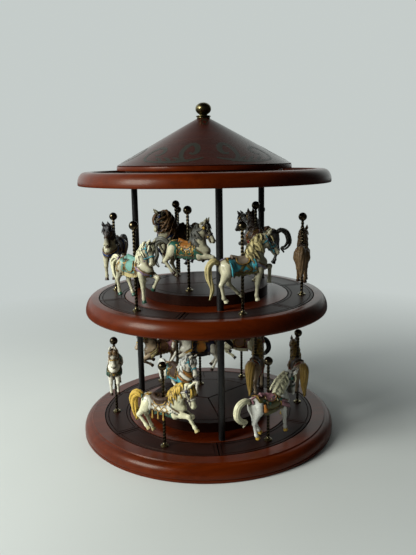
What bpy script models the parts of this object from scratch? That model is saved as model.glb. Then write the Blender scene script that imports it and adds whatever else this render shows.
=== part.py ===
"""Table-top display carousel: two turned wooden decks of painted horses on brass poles, under a conical roof.

Lengths are in metres and +Z is up. The stand is turned about the Z axis and rests on z = 0; the front is -Y.
A figure is drawn in millimetres, facing +X with its barrel at the origin, and then brought to size and place.
Run it with Blender 4.5: blender --background --python part.py
"""

import math

import bpy
from mathutils import Matrix, Vector

# Driving dimensions of the stand
GAP = 0.0003  # between pieces that rest on each other
BASE_RADIUS = 0.185
BASE_TOP = 0.0215
DECK_RADIUS = 0.1743
DECK_TOP = 0.2005
DECK_THICKNESS = 0.021
TRACK_OUTER = 0.1555  # the ring of dark panels let into each deck
TRACK_INNER = 0.1180
CHANNEL_DEPTH = 0.005
SHADOW_LINE = 0.0013  # open joint on either side of the panels
GROOVE_WIDTH = 0.0015
GROOVE_DEPTH = 0.0014
BEAD_INSET = 0.0042  # fine routed line near a panel's edge
BEAD_WIDTH = 0.0009
DRUM_RADIUS = 0.0890
DRUM_HEIGHT = 0.0140
DRUM_LINE_RADIUS = 0.0780

# Canopy and roof
CANOPY_RADIUS = 0.1760
CANOPY_BOTTOM = 0.3587
CANOPY_HEIGHT = 0.0180
CANOPY_TOP_RADIUS = 0.1652
WELL_RADIUS = 0.1562
CEILING_THICKNESS = 0.0060
LEDGE_HEIGHT = 0.0016
ROOF_RADIUS = 0.1220
ROOF_EAVES = 0.3834
ROOF_SKIRT = 0.0058
ROOF_PEAK = 0.4466
ROOF_PEAK_RADIUS = 0.0098
FINIAL_PLATE_RADIUS = 0.0104
FINIAL_NECK_RADIUS = 0.0056
FINIAL_BALL_RADIUS = 0.0110
FINIAL_BALL_HEIGHT = 0.0172
FINIAL_TOP = 0.4685

# Posts, and the poles of the figures
POST_RADIUS = 0.0046
POST_CIRCLE = 0.1120
POST_TURN = -81.0  # degrees, to the front post
POLE_RADIUS = 0.0021
POLE_FOOT_RADIUS = 0.0057
POLE_BALL_RADIUS = 0.0060
POLE_BALL_HEIGHT = 0.1105  # centre of the ball above the deck
BORE_CLEARANCE = 0.0003

# Places round the decks, in degrees
TRACK_CIRCLE = 0.1380
PANELS = 6
SECTORS = 3
LOWER_TRACK_TURN = -85.0  # to a joint between two panels; a figure stands midway between joints
UPPER_TRACK_TURN = -103.0
LOWER_DRUM_TURN = 42.0  # to a joint between two sectors
UPPER_DRUM_TURN = 66.0

TURN_STEPS = 60
POST_STEPS = 16
ROD_STEPS = 8
FIGURE_VOXEL = 0.0009
FIGURE_TRIANGLES = 390

# Legs: lengths in millimetres of the upper bone, the lower bone and the hoof
FORE_BONES = (19.0, 14.0, 5.0)
HIND_BONES = (19.0, 16.0, 5.0)
FORE_RADII = (6.6, 3.5, 2.5, 3.0)
HIND_RADII = (9.0, 4.0, 2.6, 3.0)


def clear_scene():
    for obj in list(bpy.data.objects):
        bpy.data.objects.remove(obj, do_unlink=True)


def new_collection(name):
    collection = bpy.data.collections.new(name)
    bpy.context.scene.collection.children.link(collection)
    return collection


def new_material(name, color, roughness, metallic=0.0, coat=0.0):
    material = bpy.data.materials.new(name)
    material.use_nodes = True
    shader = material.node_tree.nodes["Principled BSDF"]
    shader.inputs["Base Color"].default_value = (*color, 1.0)
    shader.inputs["Roughness"].default_value = roughness
    shader.inputs["Metallic"].default_value = metallic
    shader.inputs["Coat Weight"].default_value = coat
    return material


clear_scene()
carousel = new_collection("Carousel")
cutters = new_collection("Cutters")
cutters.hide_render = True

mahogany = new_material("Mahogany", (0.20, 0.055, 0.022), 0.30, coat=0.4)
dark_stain = new_material("Dark stain", (0.050, 0.030, 0.026), 0.38, coat=0.3)
black_lacquer = new_material("Black lacquer", (0.010, 0.010, 0.011), 0.30)
aged_brass = new_material("Aged brass", (0.32, 0.24, 0.10), 0.35, metallic=1.0)
white_glaze = new_material("White glaze", (0.72, 0.68, 0.58), 0.35, coat=0.3)
grey_glaze = new_material("Grey glaze", (0.30, 0.28, 0.25), 0.35, coat=0.3)
brown_glaze = new_material("Brown glaze", (0.16, 0.10, 0.065), 0.35, coat=0.3)
blue_glaze = new_material("Dark blue glaze", (0.045, 0.055, 0.085), 0.35, coat=0.3)


def add_mesh(name, points, edges, faces, material, collection=carousel):
    mesh = bpy.data.meshes.new(name)
    mesh.from_pydata(points, edges, faces)
    obj = bpy.data.objects.new(name, mesh)
    collection.objects.link(obj)
    if material:
        mesh.materials.append(material)
    return obj


def turned(name, profile, material, steps=TURN_STEPS):
    """A solid turned about Z from (radius, height) points that run down its outer side.

    A profile with both ends on the axis makes a solid; any other one is closed into a ring.
    """
    points = [(radius, 0.0, height) for radius, height in profile]
    edges = [(i, i + 1) for i in range(len(points) - 1)]
    if profile[0][0] or profile[-1][0]:
        edges.append((len(points) - 1, 0))
    obj = add_mesh(name, points, edges, [], material)
    screw = obj.modifiers.new("Turn", "SCREW")
    screw.steps = screw.render_steps = steps
    screw.use_merge_vertices = True
    screw.merge_threshold = 0.00001
    screw.use_smooth_shade = True
    return obj


def arc(center, radii, start, end, steps):
    """Points of an elliptical arc in a profile, from one angle to another, both included."""
    angles = [math.radians(start + (end - start) * i / steps) for i in range(steps + 1)]
    return [(center[0] + radii[0] * math.cos(a), center[1] + radii[1] * math.sin(a)) for a in angles]


def place(radius, degrees, height=0.0):
    angle = math.radians(degrees)
    return Vector((radius * math.cos(angle), radius * math.sin(angle), height))


def box_cutter(name, length, width, height, location, degrees):
    """A box whose length runs outwards from the axis at this angle."""
    bpy.ops.mesh.primitive_cube_add(size=1.0)
    obj = bpy.context.object
    obj.name = name
    obj.dimensions = (length, width, height)
    obj.location = location
    obj.rotation_euler.z = math.radians(degrees)
    return as_cutter(obj)


def rod_cutter(name, radius, bottom, top, location, steps):
    bpy.ops.mesh.primitive_cylinder_add(vertices=steps, radius=radius, depth=top - bottom)
    obj = bpy.context.object
    obj.name = name
    obj.location = (location.x, location.y, (top + bottom) / 2)
    return as_cutter(obj)


def as_cutter(obj):
    for collection in list(obj.users_collection):
        collection.objects.unlink(obj)
    cutters.objects.link(obj)
    obj.hide_render = True
    obj.display_type = "WIRE"
    return obj


def cut(obj, cutter):
    boolean = obj.modifiers.new(f"Cut {cutter.name}", "BOOLEAN")
    boolean.operation = "DIFFERENCE"
    boolean.solver = "EXACT"
    boolean.object = cutter


# Boards of the two decks. Each has a channel for the ring of panels, and a plain ring inside it.


def channel(top):
    """The channel for the panels, from its inner edge to its outer one."""
    floor = top - CHANNEL_DEPTH
    return [(TRACK_INNER, top), (TRACK_INNER, floor), (TRACK_OUTER, floor), (TRACK_OUTER, top)]


def base_board():
    """Flat rim, small step, then a rounded edge down to a fine line and a narrow foot band."""
    step_radius, step_drop = 0.1735, 0.0016
    band_height, line_depth, line_width = 0.0036, 0.0013, 0.0008
    shoulder = BASE_TOP - step_drop
    side_foot = band_height + line_width
    profile = [(0.0, BASE_TOP), *channel(BASE_TOP), (step_radius, BASE_TOP), (step_radius + 0.0008, shoulder)]
    profile += arc((step_radius + 0.0008, side_foot + 0.001), (BASE_RADIUS - step_radius - 0.0008,
                   shoulder - side_foot - 0.001), 78, 0, 4)
    profile += [(BASE_RADIUS - 0.0002, side_foot), (BASE_RADIUS - line_depth, band_height)]
    profile += [(BASE_RADIUS - 0.0002, band_height - 0.0003), (BASE_RADIUS - 0.0006, 0.0), (0.0, 0.0)]
    return turned("base_board", profile, mahogany)


def upper_board():
    """The same board with a side that swells to its widest near the bottom, and bores for the posts."""
    foot_radius = 0.1718
    bottom = DECK_TOP - DECK_THICKNESS
    widest = bottom + 0.0040
    profile = [(0.0, DECK_TOP), *channel(DECK_TOP)]
    profile += arc((DECK_RADIUS - 0.0160, widest), (0.0160, 0.0196), 61, 0, 5)
    profile += arc((foot_radius, widest), (DECK_RADIUS - foot_radius, widest - bottom), -30, -90, 2)
    profile.append((0.0, bottom))
    board = turned("upper_board", profile, mahogany)
    for number, spot in enumerate(post_places(), 1):
        cut(board, rod_cutter(f"post_bore_{number}", POST_RADIUS + BORE_CLEARANCE, bottom - 0.01, DECK_TOP + 0.01,
                              spot, POST_STEPS))
    return board


def bead(radius, top):
    """A fine V-shaped line turned into a top face."""
    half = BEAD_WIDTH / 2
    return [(radius - half, top), (radius, top - half), (radius + half, top)]


def track(name, deck_top, turn):
    """Six dark panels in one ring, parted by radial grooves, with a fine line near both edges."""
    floor = deck_top - CHANNEL_DEPTH + GAP
    inner, outer = TRACK_INNER + SHADOW_LINE, TRACK_OUTER - SHADOW_LINE
    profile = [(inner, floor), (inner, deck_top), *bead(inner + BEAD_INSET, deck_top)]
    profile += [*bead(outer - BEAD_INSET, deck_top), (outer, deck_top), (outer, floor)]
    ring = turned(name, profile, dark_stain)
    for i in range(PANELS):
        angle = turn + i * 360 / PANELS
        middle = place((TRACK_INNER + TRACK_OUTER) / 2, angle, deck_top)
        cutter = box_cutter(f"{name}_joint_{i + 1}", TRACK_OUTER - TRACK_INNER + 0.01, GROOVE_WIDTH, 2 * GROOVE_DEPTH,
                            middle, angle)
        cut(ring, cutter)
    return ring


def drum(name, deck_top, turn):
    """Raised round platform in three sectors, with an eased edge and a fine line inside it."""
    bottom, top, ease = deck_top + GAP, deck_top + DRUM_HEIGHT, 0.0016
    profile = [(0.0, top), *bead(DRUM_LINE_RADIUS, top)]
    profile += arc((DRUM_RADIUS - ease, top - ease), (ease, ease), 90, 0, 2)
    profile += [(DRUM_RADIUS, bottom), (0.0, bottom)]
    body = turned(name, profile, dark_stain)
    for i in range(SECTORS):
        angle = turn + i * 360 / SECTORS
        cutter = box_cutter(f"{name}_joint_{i + 1}", DRUM_RADIUS + 0.005, GROOVE_WIDTH, 2 * GROOVE_DEPTH,
                            place((DRUM_RADIUS + 0.005) / 2 - 0.0005, angle, top), angle)
        cut(body, cutter)
    return body


def post_places():
    return [place(POST_CIRCLE, POST_TURN + i * 120) for i in range(3)]


def posts():
    bottom, top = BASE_TOP + GAP, CANOPY_BOTTOM + LEDGE_HEIGHT
    profile = [(0.0, top), (POST_RADIUS, top), (POST_RADIUS, bottom), (0.0, bottom)]
    for number, spot in enumerate(post_places(), 1):
        post = turned(f"post_{number}", profile, black_lacquer, POST_STEPS)
        post.location = spot


# Canopy: a moulded rim on a ceiling board, and a low cone in the middle of the well between them


def canopy():
    top, corner = CANOPY_BOTTOM + CANOPY_HEIGHT, 0.0012
    ledge = CANOPY_BOTTOM + LEDGE_HEIGHT
    ledge_radius = WELL_RADIUS - 0.010
    profile = [(ledge_radius, CANOPY_BOTTOM), (ledge_radius, ledge), (WELL_RADIUS, ledge), (WELL_RADIUS, top)]
    profile += arc((CANOPY_TOP_RADIUS, CANOPY_BOTTOM + 0.003), (CANOPY_RADIUS - CANOPY_TOP_RADIUS,
                   CANOPY_HEIGHT - 0.003), 90, 0, 5)
    profile += [(CANOPY_RADIUS, CANOPY_BOTTOM + corner), (CANOPY_RADIUS - corner, CANOPY_BOTTOM)]
    turned("canopy_rim", profile, mahogany)
    radius, bottom = WELL_RADIUS - GAP, ledge + GAP
    top = bottom + CEILING_THICKNESS
    turned("ceiling_board", [(0.0, top), (radius, top), (radius, bottom), (0.0, bottom)], dark_stain)
    return top


def roof(ceiling_top):
    """A mahogany skirt disc on a narrower plinth, the dark cone, and a brass knob."""
    skirt_bottom = ROOF_EAVES - ROOF_SKIRT
    plinth_radius = ROOF_RADIUS - 0.012
    foot = ceiling_top + GAP
    profile = [(0.0, ROOF_EAVES), (ROOF_RADIUS - 0.0008, ROOF_EAVES), (ROOF_RADIUS, ROOF_EAVES - 0.0008)]
    profile += [(ROOF_RADIUS, skirt_bottom), (plinth_radius, skirt_bottom), (plinth_radius, foot), (0.0, foot)]
    turned("roof_skirt", profile, mahogany)
    eaves = ROOF_EAVES + GAP
    profile = [(0.0, ROOF_PEAK), (ROOF_PEAK_RADIUS, ROOF_PEAK), (ROOF_RADIUS - 0.0005, eaves + 0.001)]
    profile += [(ROOF_RADIUS - 0.0010, eaves), (0.0, eaves)]
    turned("roof_cone", profile, dark_stain)


def finial():
    plate = ROOF_PEAK + GAP
    ball = FINIAL_TOP - FINIAL_BALL_HEIGHT / 2
    profile = arc((0.0, ball), (FINIAL_BALL_RADIUS, FINIAL_BALL_HEIGHT / 2), 90, -56, 7)
    profile[0] = (0.0, FINIAL_TOP)
    profile += [(FINIAL_NECK_RADIUS, ball - 0.0088), (FINIAL_NECK_RADIUS, plate + 0.0040)]
    profile += [(FINIAL_PLATE_RADIUS, plate + 0.0034), (FINIAL_PLATE_RADIUS, plate + 0.0018)]
    profile += [(FINIAL_PLATE_RADIUS - 0.0012, plate + 0.0014), (FINIAL_PLATE_RADIUS - 0.0012, plate), (0.0, plate)]
    turned("finial", profile, aged_brass, 24)


# Figures. A limb is a tapering branch; all of a figure's limbs are fused into one skin.


def limb(curve, points, radii):
    spline = curve.splines.new("NURBS")
    spline.points.add(len(points) - 1)
    for knot, spot, radius in zip(spline.points, points, radii):
        knot.co = (*spot, 1.0)
        knot.radius = radius
    spline.order_u = 3
    spline.use_endpoint_u = True


def leg(curve, root, bones, leans, radii):
    """A leg from its root down. A lean is a bone's angle forward of straight down, in degrees."""
    joints = [Vector(root)]
    for length, lean in zip(bones, leans):
        lean = math.radians(lean)
        joints.append(joints[-1] + Vector((length * math.sin(lean), 0.0, -length * math.cos(lean))))
    upper_middle = (joints[0] + joints[1]) / 2
    ankle = joints[2]
    points = [joints[0], upper_middle, joints[1], joints[1].lerp(ankle, 0.5), ankle, joints[3]]
    limb(curve, points, (radii[0], (radii[0] + radii[1]) / 2, radii[1], radii[2], radii[2], radii[3]))


# A pose gives the leans of the two fore and two hind legs, outer side first, and how far the neck leans forward.
POSES = {
    "leap": dict(fore=((84, 32, 35), (70, -95, -60)), hind=((-42, 38, 45), (-25, 25, 35)), neck=36, head=66),
    "proud": dict(fore=((84, 32, 35), (70, -95, -60)), hind=((-42, 38, 45), (-25, 25, 35)), neck=12, head=52),
    "walk": dict(fore=((-14, -10, 8), (82, -8, -12)), hind=((-34, 4, 30), (8, 40, 45)), neck=32, head=54),
    "prance": dict(fore=((62, -40, -30), (84, -70, -50)), hind=((-20, 22, 30), (-36, 10, 25)), neck=25, head=58),
    "trot": dict(fore=((4, 2, 12), (72, -32, -30)), hind=((-30, 8, 25), (2, 24, 30)), neck=24, head=70),
    "stretch": dict(fore=((6, 2, 8), (74, -34, -30)), hind=((-24, 8, 25), (2, 22, 28)), neck=42, head=80),
    "hang": dict(fore=((12, -6, 8), (24, -14, -4)), hind=((-42, 38, 45), (-25, 25, 35)), neck=18, head=70),
    "gather": dict(fore=((36, -60, -50), (66, -86, -60)), hind=((-20, 22, 30), (-36, 10, 25)), neck=36, head=56),
}


def figure_curve(pose):
    """Every limb of a figure in millimetres: barrel, neck, head, ears, mane, tail, saddle and legs."""
    curve = bpy.data.curves.new("figure_limbs", "CURVE")
    curve.dimensions = "3D"
    curve.resolution_u = 5
    curve.bevel_depth = 1.0
    curve.bevel_resolution = 3
    curve.use_fill_caps = True
    limb(curve, [(-30, 0, 4), (-27, 0, 4), (-16, 0, 2), (0, 0, -1), (12, 0, 0), (22, 0, 2), (28, 0, 4)],
         (5, 9, 11.4, 10.3, 11, 11, 5))
    neck = math.radians(pose["neck"])
    along, across = Vector((math.sin(neck), 0, math.cos(neck))), Vector((math.cos(neck), 0, -math.sin(neck)))
    root = Vector((16, 0, 4))
    poll = root + along * 30
    limb(curve, [root, root + along * 12, root + along * 22 - across, poll], (10.5, 8.6, 7, 6))
    tuck = math.radians(pose["head"])
    nose = Vector((math.cos(tuck), 0, -math.sin(tuck)))
    limb(curve, [poll - nose * 2, poll + nose * 7.5, poll + nose * 18.5, poll + nose * 24], (6.6, 6.8, 4.5, 3.8))
    for side in (-1, 1):
        limb(curve, [poll + Vector((0, 2.6 * side, 2)), poll + Vector((0, 3.8 * side, 10))], (2.4, 1.0))
    crest = [poll + Vector((3, 0, 5)), poll - across * 5 + Vector((0, 0, 2)), root + along * 19 - across * 9,
             root + along * 9 - across * 11, root - across * 9]
    limb(curve, crest, (2.5, 5, 5.5, 5, 2.5))
    limb(curve, [(-26, 0, 9), (-38, 0, 12), (-45, 0, 4), (-41, 0, -10), (-38, 0, -22)], (3.5, 4, 5, 4.5, 1.8))
    limb(curve, [(-13, 0, 17), (-8, 0, 12), (0, 0, 9), (7, 0, 12), (10, 0, 16)], (3.2, 5.5, 6.5, 5.5, 2.6))
    for side, fore, hind in zip((-1, 1), pose["fore"], pose["hind"]):
        leg(curve, (19, 6.5 * side, -4), FORE_BONES, fore, FORE_RADII)
        leg(curve, (-20, 6 * side, 0), HIND_BONES, hind, HIND_RADII)
    return curve


def figure(name, pose, spot, deck_top, ride, heading, tilt, size, material):
    """A figure with its barrel at this ride height above its deck, tilted nose up, and bored for its pole."""
    curve = figure_curve(POSES[pose])
    limbs = bpy.data.objects.new("figure_limbs", curve)
    mesh = bpy.data.meshes.new_from_object(limbs)
    bpy.data.objects.remove(limbs)
    mesh.transform(Matrix.Diagonal((0.001 * size, 0.00088 * size, 0.001 * size, 1.0)))
    mesh.name = name
    mesh.materials.clear()
    mesh.materials.append(material)
    obj = bpy.data.objects.new(name, mesh)
    carousel.objects.link(obj)
    obj.location = (spot.x, spot.y, deck_top + ride)
    obj.rotation_euler = (0.0, -math.radians(tilt), math.radians(heading))
    skin = obj.modifiers.new("Skin", "REMESH")
    skin.mode = "VOXEL"
    skin.voxel_size = FIGURE_VOXEL
    skin.use_smooth_shade = True
    graph = bpy.context.evaluated_depsgraph_get()
    fused = obj.evaluated_get(graph).to_mesh()
    fused.calc_loop_triangles()
    count = len(fused.loop_triangles)
    obj.evaluated_get(graph).to_mesh_clear()
    fewer = obj.modifiers.new("Fewer faces", "DECIMATE")
    fewer.ratio = FIGURE_TRIANGLES / count
    bore_bottom, bore_top = deck_top + 0.005, deck_top + POLE_BALL_HEIGHT
    cut(obj, rod_cutter(f"{name}_bore", POLE_RADIUS + BORE_CLEARANCE, bore_bottom, bore_top, spot, ROD_STEPS))


def pole(name, spot, deck_top):
    """Brass rod with a round foot and a ball."""
    r, foot, low = POLE_RADIUS, POLE_FOOT_RADIUS, GAP
    profile = arc((0.0, POLE_BALL_HEIGHT), (POLE_BALL_RADIUS, POLE_BALL_RADIUS), 90, -60, 3)
    profile[0] = (0.0, POLE_BALL_HEIGHT + POLE_BALL_RADIUS)
    profile += [(r, POLE_BALL_HEIGHT - 0.0056), (r, 0.0040), (0.0030, 0.0034), (0.0032, 0.0018)]
    profile += [(foot, 0.0012), (foot, low), (0.0, low)]
    rod = turned(name, profile, aged_brass, ROD_STEPS)
    rod.location = (spot.x, spot.y, deck_top)


# Every figure: deck, angle of its pole round the stand, radius of its pole, pose, ride height, and its glaze.
# Each faces along the circle, so that the ride turns counterclockwise seen from above.
LOWER_DRUM_TOP, UPPER_DRUM_TOP = BASE_TOP + DRUM_HEIGHT, DECK_TOP + DRUM_HEIGHT
FIGURES = [
    ("lower_track_1", BASE_TOP, -175, TRACK_CIRCLE, "hang", 0.073, 0, 0.90, grey_glaze),
    ("lower_track_2", BASE_TOP, -115, TRACK_CIRCLE, "leap", 0.056, 0, 1.05, white_glaze),
    ("lower_track_3", BASE_TOP, -55, TRACK_CIRCLE, "stretch", 0.053, 3, 1.06, white_glaze),
    ("lower_track_4", BASE_TOP, 5, TRACK_CIRCLE, "trot", 0.057, 0, 0.95, brown_glaze),
    ("lower_track_5", BASE_TOP, 65, TRACK_CIRCLE, "gather", 0.060, 0, 1.00, white_glaze),
    ("lower_track_6", BASE_TOP, 125, TRACK_CIRCLE, "gather", 0.058, 0, 0.98, brown_glaze),
    ("lower_drum_1", LOWER_DRUM_TOP, -138, 0.058, "walk", 0.054, 0, 0.95, white_glaze),
    ("lower_drum_2", LOWER_DRUM_TOP, -16, 0.073, "trot", 0.058, 0, 0.95, brown_glaze),
    ("lower_drum_3", LOWER_DRUM_TOP, 102, 0.059, "leap", 0.060, 0, 0.98, blue_glaze),
    ("upper_track_1", DECK_TOP, -191, TRACK_CIRCLE, "hang", 0.063, 0, 1.02, white_glaze),
    ("upper_track_2", DECK_TOP, -131, TRACK_CIRCLE, "trot", 0.056, 0, 0.97, white_glaze),
    ("upper_track_3", DECK_TOP, -71, TRACK_CIRCLE, "walk", 0.060, 6, 1.04, white_glaze),
    ("upper_track_4", DECK_TOP, -11, TRACK_CIRCLE, "trot", 0.058, 0, 0.92, grey_glaze),
    ("upper_track_5", DECK_TOP, 49, TRACK_CIRCLE, "gather", 0.066, 0, 1.06, grey_glaze),
    ("upper_track_6", DECK_TOP, 109, TRACK_CIRCLE, "trot", 0.056, 0, 0.95, blue_glaze),
    ("upper_drum_1", UPPER_DRUM_TOP, -114, 0.058, "proud", 0.055, 0, 1.02, white_glaze),
    ("upper_drum_2", UPPER_DRUM_TOP, 8, 0.074, "prance", 0.064, 0, 0.95, brown_glaze),
    ("upper_drum_3", UPPER_DRUM_TOP, 127, 0.074, "trot", 0.064, 0, 1.00, brown_glaze),
]

base_board()
upper_board()
track("lower_track", BASE_TOP, LOWER_TRACK_TURN)
track("upper_track", DECK_TOP, UPPER_TRACK_TURN)
drum("lower_drum", BASE_TOP, LOWER_DRUM_TURN)
drum("upper_drum", DECK_TOP, UPPER_DRUM_TURN)
posts()
roof(canopy())
finial()
for name, deck_top, angle, radius, pose, ride, tilt, size, glaze in FIGURES:
    spot = place(radius, angle)
    figure(f"horse_{name}", pose, spot, deck_top, ride, angle + 90, tilt, size, glaze)
    pole(f"pole_{name}", spot, deck_top)
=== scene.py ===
"""Looks of a table-top display carousel: turned wood, twisted brass poles and painted porcelain horses.

The stand is made in metres. A figure is made in millimetres, facing +X with its barrel at the origin. It
starts as fields of distances, and their surfaces become meshes that are brought to its place and size.
"""

import itertools
import math

import bpy
import numpy as np
import openvdb
from mathutils import Matrix, Vector


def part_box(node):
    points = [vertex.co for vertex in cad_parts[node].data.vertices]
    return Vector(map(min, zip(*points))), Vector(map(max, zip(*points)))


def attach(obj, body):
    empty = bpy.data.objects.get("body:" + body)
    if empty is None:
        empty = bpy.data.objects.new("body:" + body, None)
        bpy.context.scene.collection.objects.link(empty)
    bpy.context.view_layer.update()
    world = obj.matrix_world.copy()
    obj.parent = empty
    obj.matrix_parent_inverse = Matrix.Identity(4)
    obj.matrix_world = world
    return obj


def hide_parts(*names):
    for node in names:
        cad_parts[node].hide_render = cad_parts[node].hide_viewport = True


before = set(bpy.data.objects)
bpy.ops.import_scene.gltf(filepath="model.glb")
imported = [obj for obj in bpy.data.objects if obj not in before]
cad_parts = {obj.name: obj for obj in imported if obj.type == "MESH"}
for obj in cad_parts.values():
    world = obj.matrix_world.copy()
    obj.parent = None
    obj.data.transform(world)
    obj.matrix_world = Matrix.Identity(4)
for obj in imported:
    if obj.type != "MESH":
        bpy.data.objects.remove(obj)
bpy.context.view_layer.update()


def extent(name):
    """Radius, lowest and highest height of a round node whose axis is the stand's."""
    low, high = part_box(name)
    return high.x, low.z, high.z


# The frame's own sizes
BASE_RADIUS, _, BASE_TOP = extent("base_board")
DECK_RADIUS, DECK_BOTTOM, DECK_TOP = extent("upper_board")
PANEL_OUTER, PANEL_BOTTOM, _ = extent("lower_track")
PANEL_FLOOR = PANEL_BOTTOM - BASE_TOP
DRUM_RADIUS, _, DRUM_TOP = extent("lower_drum")
DRUM_HEIGHT = DRUM_TOP - BASE_TOP
RIM_RADIUS, RIM_BOTTOM, RIM_TOP = extent("canopy_rim")
CEILING_RADIUS, CEILING_BOTTOM, CEILING_TOP = extent("ceiling_board")
SKIRT_RADIUS, SKIRT_BOTTOM, SKIRT_TOP = extent("roof_skirt")
CONE_RADIUS, CONE_BOTTOM, CONE_PEAK = extent("roof_cone")
_, KNOB_FOOT, KNOB_TOP = extent("finial")

# Sizes of the stand that the frame's boxes don't give
PANEL_INNER = 0.1193
CHANNEL_INNER, CHANNEL_OUTER, CHANNEL_DEPTH = 0.1180, 0.1555, 0.0050
JOINT_WIDTH = 0.0015
LINE_INSET, LINE_WIDTH, LINE_DEPTH = 0.0042, 0.0014, 0.0009
DRUM_LINE_RADIUS = 0.0780
PANELS, SECTORS = 6, 3
PANEL_TURNS = {"lower": -85.0, "upper": -103.0}
DRUM_TURNS = {"lower": 42.0, "upper": 66.0}
DRUM_HOLE = 0.0012
CONE_TIP, CONE_EDGE = 0.0098, 0.0010
ROUND_STEPS = 192

# Colours, linear
CREAM, IVORY, CHALK = (0.84, 0.81, 0.55), (0.84, 0.81, 0.67), (0.84, 0.85, 0.78)
ASH, TAUPE, SLATE = (0.25, 0.25, 0.24), (0.24, 0.19, 0.14), (0.085, 0.085, 0.09)
UMBER, CHESTNUT, TAN = (0.055, 0.030, 0.018), (0.17, 0.085, 0.042), (0.27, 0.17, 0.085)
OLIVE, EMERALD, SAND = (0.13, 0.12, 0.030), (0.016, 0.12, 0.082), (0.42, 0.32, 0.21)
BONE, SMOKE, BROWN = (0.58, 0.55, 0.38), (0.13, 0.13, 0.11), (0.20, 0.105, 0.042)
OCHRE = (0.42, 0.27, 0.070)
GOLD, STRAW, HONEY = (0.50, 0.30, 0.060), (0.56, 0.47, 0.22), (0.70, 0.46, 0.080)
TEAL, TURQUOISE, SEA = (0.030, 0.13, 0.13), (0.060, 0.37, 0.44), (0.16, 0.36, 0.30)
FOREST, NAVY, BLUE = (0.020, 0.095, 0.060), (0.016, 0.022, 0.055), (0.030, 0.065, 0.20)
MAROON, RED, ROSE = (0.12, 0.020, 0.018), (0.35, 0.040, 0.025), (0.42, 0.20, 0.24)
MAUVE, LAVENDER, ORANGE = (0.27, 0.19, 0.27), (0.33, 0.30, 0.40), (0.45, 0.17, 0.030)
INK = (0.008, 0.008, 0.009)
BACKDROP = (0.56, 0.605, 0.59)


# Materials


def shade(color, factor):
    return tuple(factor * value for value in color)


class Nodes:
    """Short calls for the nodes of a material or a world."""

    def __init__(self, owner):
        owner.use_nodes = True
        self.tree = owner.node_tree
        self.nodes = self.tree.nodes

    def link(self, output, target):
        self.tree.links.new(output, target)

    def add(self, kind, inputs=(), **settings):
        node = self.nodes.new("ShaderNode" + kind)
        for key, value in settings.items():
            setattr(node, key, value)
        for key, value in dict(inputs).items():
            if isinstance(value, bpy.types.NodeSocket):
                self.link(value, node.inputs[key])
            else:
                node.inputs[key].default_value = value
        return node

    def spread(self, value, low, high, to_low=0.0, to_high=1.0, kind="LINEAR"):
        inputs = {"Value": value, "From Min": low, "From Max": high, "To Min": to_low, "To Max": to_high}
        return self.add("MapRange", inputs, interpolation_type=kind).outputs["Result"]

    def math(self, first, second, operation, clamp=False):
        node = self.add("Math", {0: first, 1: second}, operation=operation, use_clamp=clamp)
        return node.outputs["Value"]


class Surface(Nodes):
    """A material, with short calls for what most finishes share."""

    def __init__(self, name):
        self.material = bpy.data.materials.new(name)
        super().__init__(self.material)
        self.shader = self.nodes["Principled BSDF"]

    def attribute(self, name, output="Fac"):
        return self.add("Attribute", attribute_name=name).outputs[output]

    def place(self, scale=(1, 1, 1), source=None):
        """Object coordinates, or another vector, stretched by this scale."""
        source = source or self.add("TexCoord").outputs["Object"]
        return self.add("Mapping", {"Vector": source, "Scale": scale}).outputs["Vector"]

    def noise(self, vector, scale, detail=4.0, roughness=0.5, distortion=0.0):
        inputs = {"Vector": vector, "Scale": scale, "Detail": detail, "Roughness": roughness,
                  "Distortion": distortion}
        return self.add("TexNoise", inputs).outputs["Fac"]

    def mix(self, factor, first, second, blend="MIX"):
        """Mixes two colours, each of them a linear colour or an output."""
        node = self.add("MixRGB", {"Fac": factor}, blend_type=blend)
        for key, value in (("Color1", first), ("Color2", second)):
            if isinstance(value, bpy.types.NodeSocket):
                self.link(value, node.inputs[key])
            else:
                node.inputs[key].default_value = (*value, 1.0)
        return node.outputs["Color"]

    def color(self, output):
        self.link(output, self.shader.inputs["Base Color"])

    def rough(self, output):
        self.link(output, self.shader.inputs["Roughness"])

    def bump(self, height, strength, distance):
        node = self.add("Bump", {"Height": height, "Strength": strength, "Distance": distance})
        self.link(node.outputs["Normal"], self.shader.inputs["Normal"])

    def set(self, **values):
        for key, value in values.items():
            self.shader.inputs[key.replace("_", " ")].default_value = value
        return self.material


def wood(name, dark, light, roughness, coat, specular=0.13):
    """Lacquered wood with long grain, short pores and a slow drift of tone, along the piece's own grain."""
    s = Surface(name)
    grain = s.attribute("grain", "Vector")
    figure = s.noise(s.place((7, 60, 60), grain), 1.6, 5.0, 0.55, 0.6)
    streaks = s.noise(s.place((14, 420, 420), grain), 1.0, 3.0, 0.6)
    pores = s.noise(s.place((60, 1500, 1500), grain), 1.0, 2.0, 0.5)
    drift = s.noise(s.place((5, 9, 9), grain), 1.0, 2.0)
    base = s.mix(s.spread(figure, 0.32, 0.68), dark, light)
    base = s.mix(s.spread(streaks, 0.50, 0.78, 0.0, 0.5), base, shade(dark, 0.55))
    base = s.mix(s.spread(pores, 0.62, 0.74, 0.0, 0.45), base, shade(dark, 0.55))
    base = s.mix(s.spread(drift, 0.3, 0.7, 0.0, 0.35), base, shade(light, 1.25))
    # Painted shade: the routed lines are painted near black
    s.color(s.mix(s.spread(s.attribute("line"), 0.0, 1.0, 0.0, 0.95), base, (0.001, 0.0008, 0.0007)))
    s.rough(s.spread(drift, 0.3, 0.7, roughness - 0.05, roughness + 0.07))
    s.bump(s.spread(pores, 0.58, 0.75, 1.0, 0.0), 0.20, 0.00012)
    return s.set(Coat_Weight=coat, Coat_Roughness=0.18, Specular_IOR_Level=specular,
                 Specular_Tint=(1.0, 0.82, 0.68, 1.0))


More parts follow.
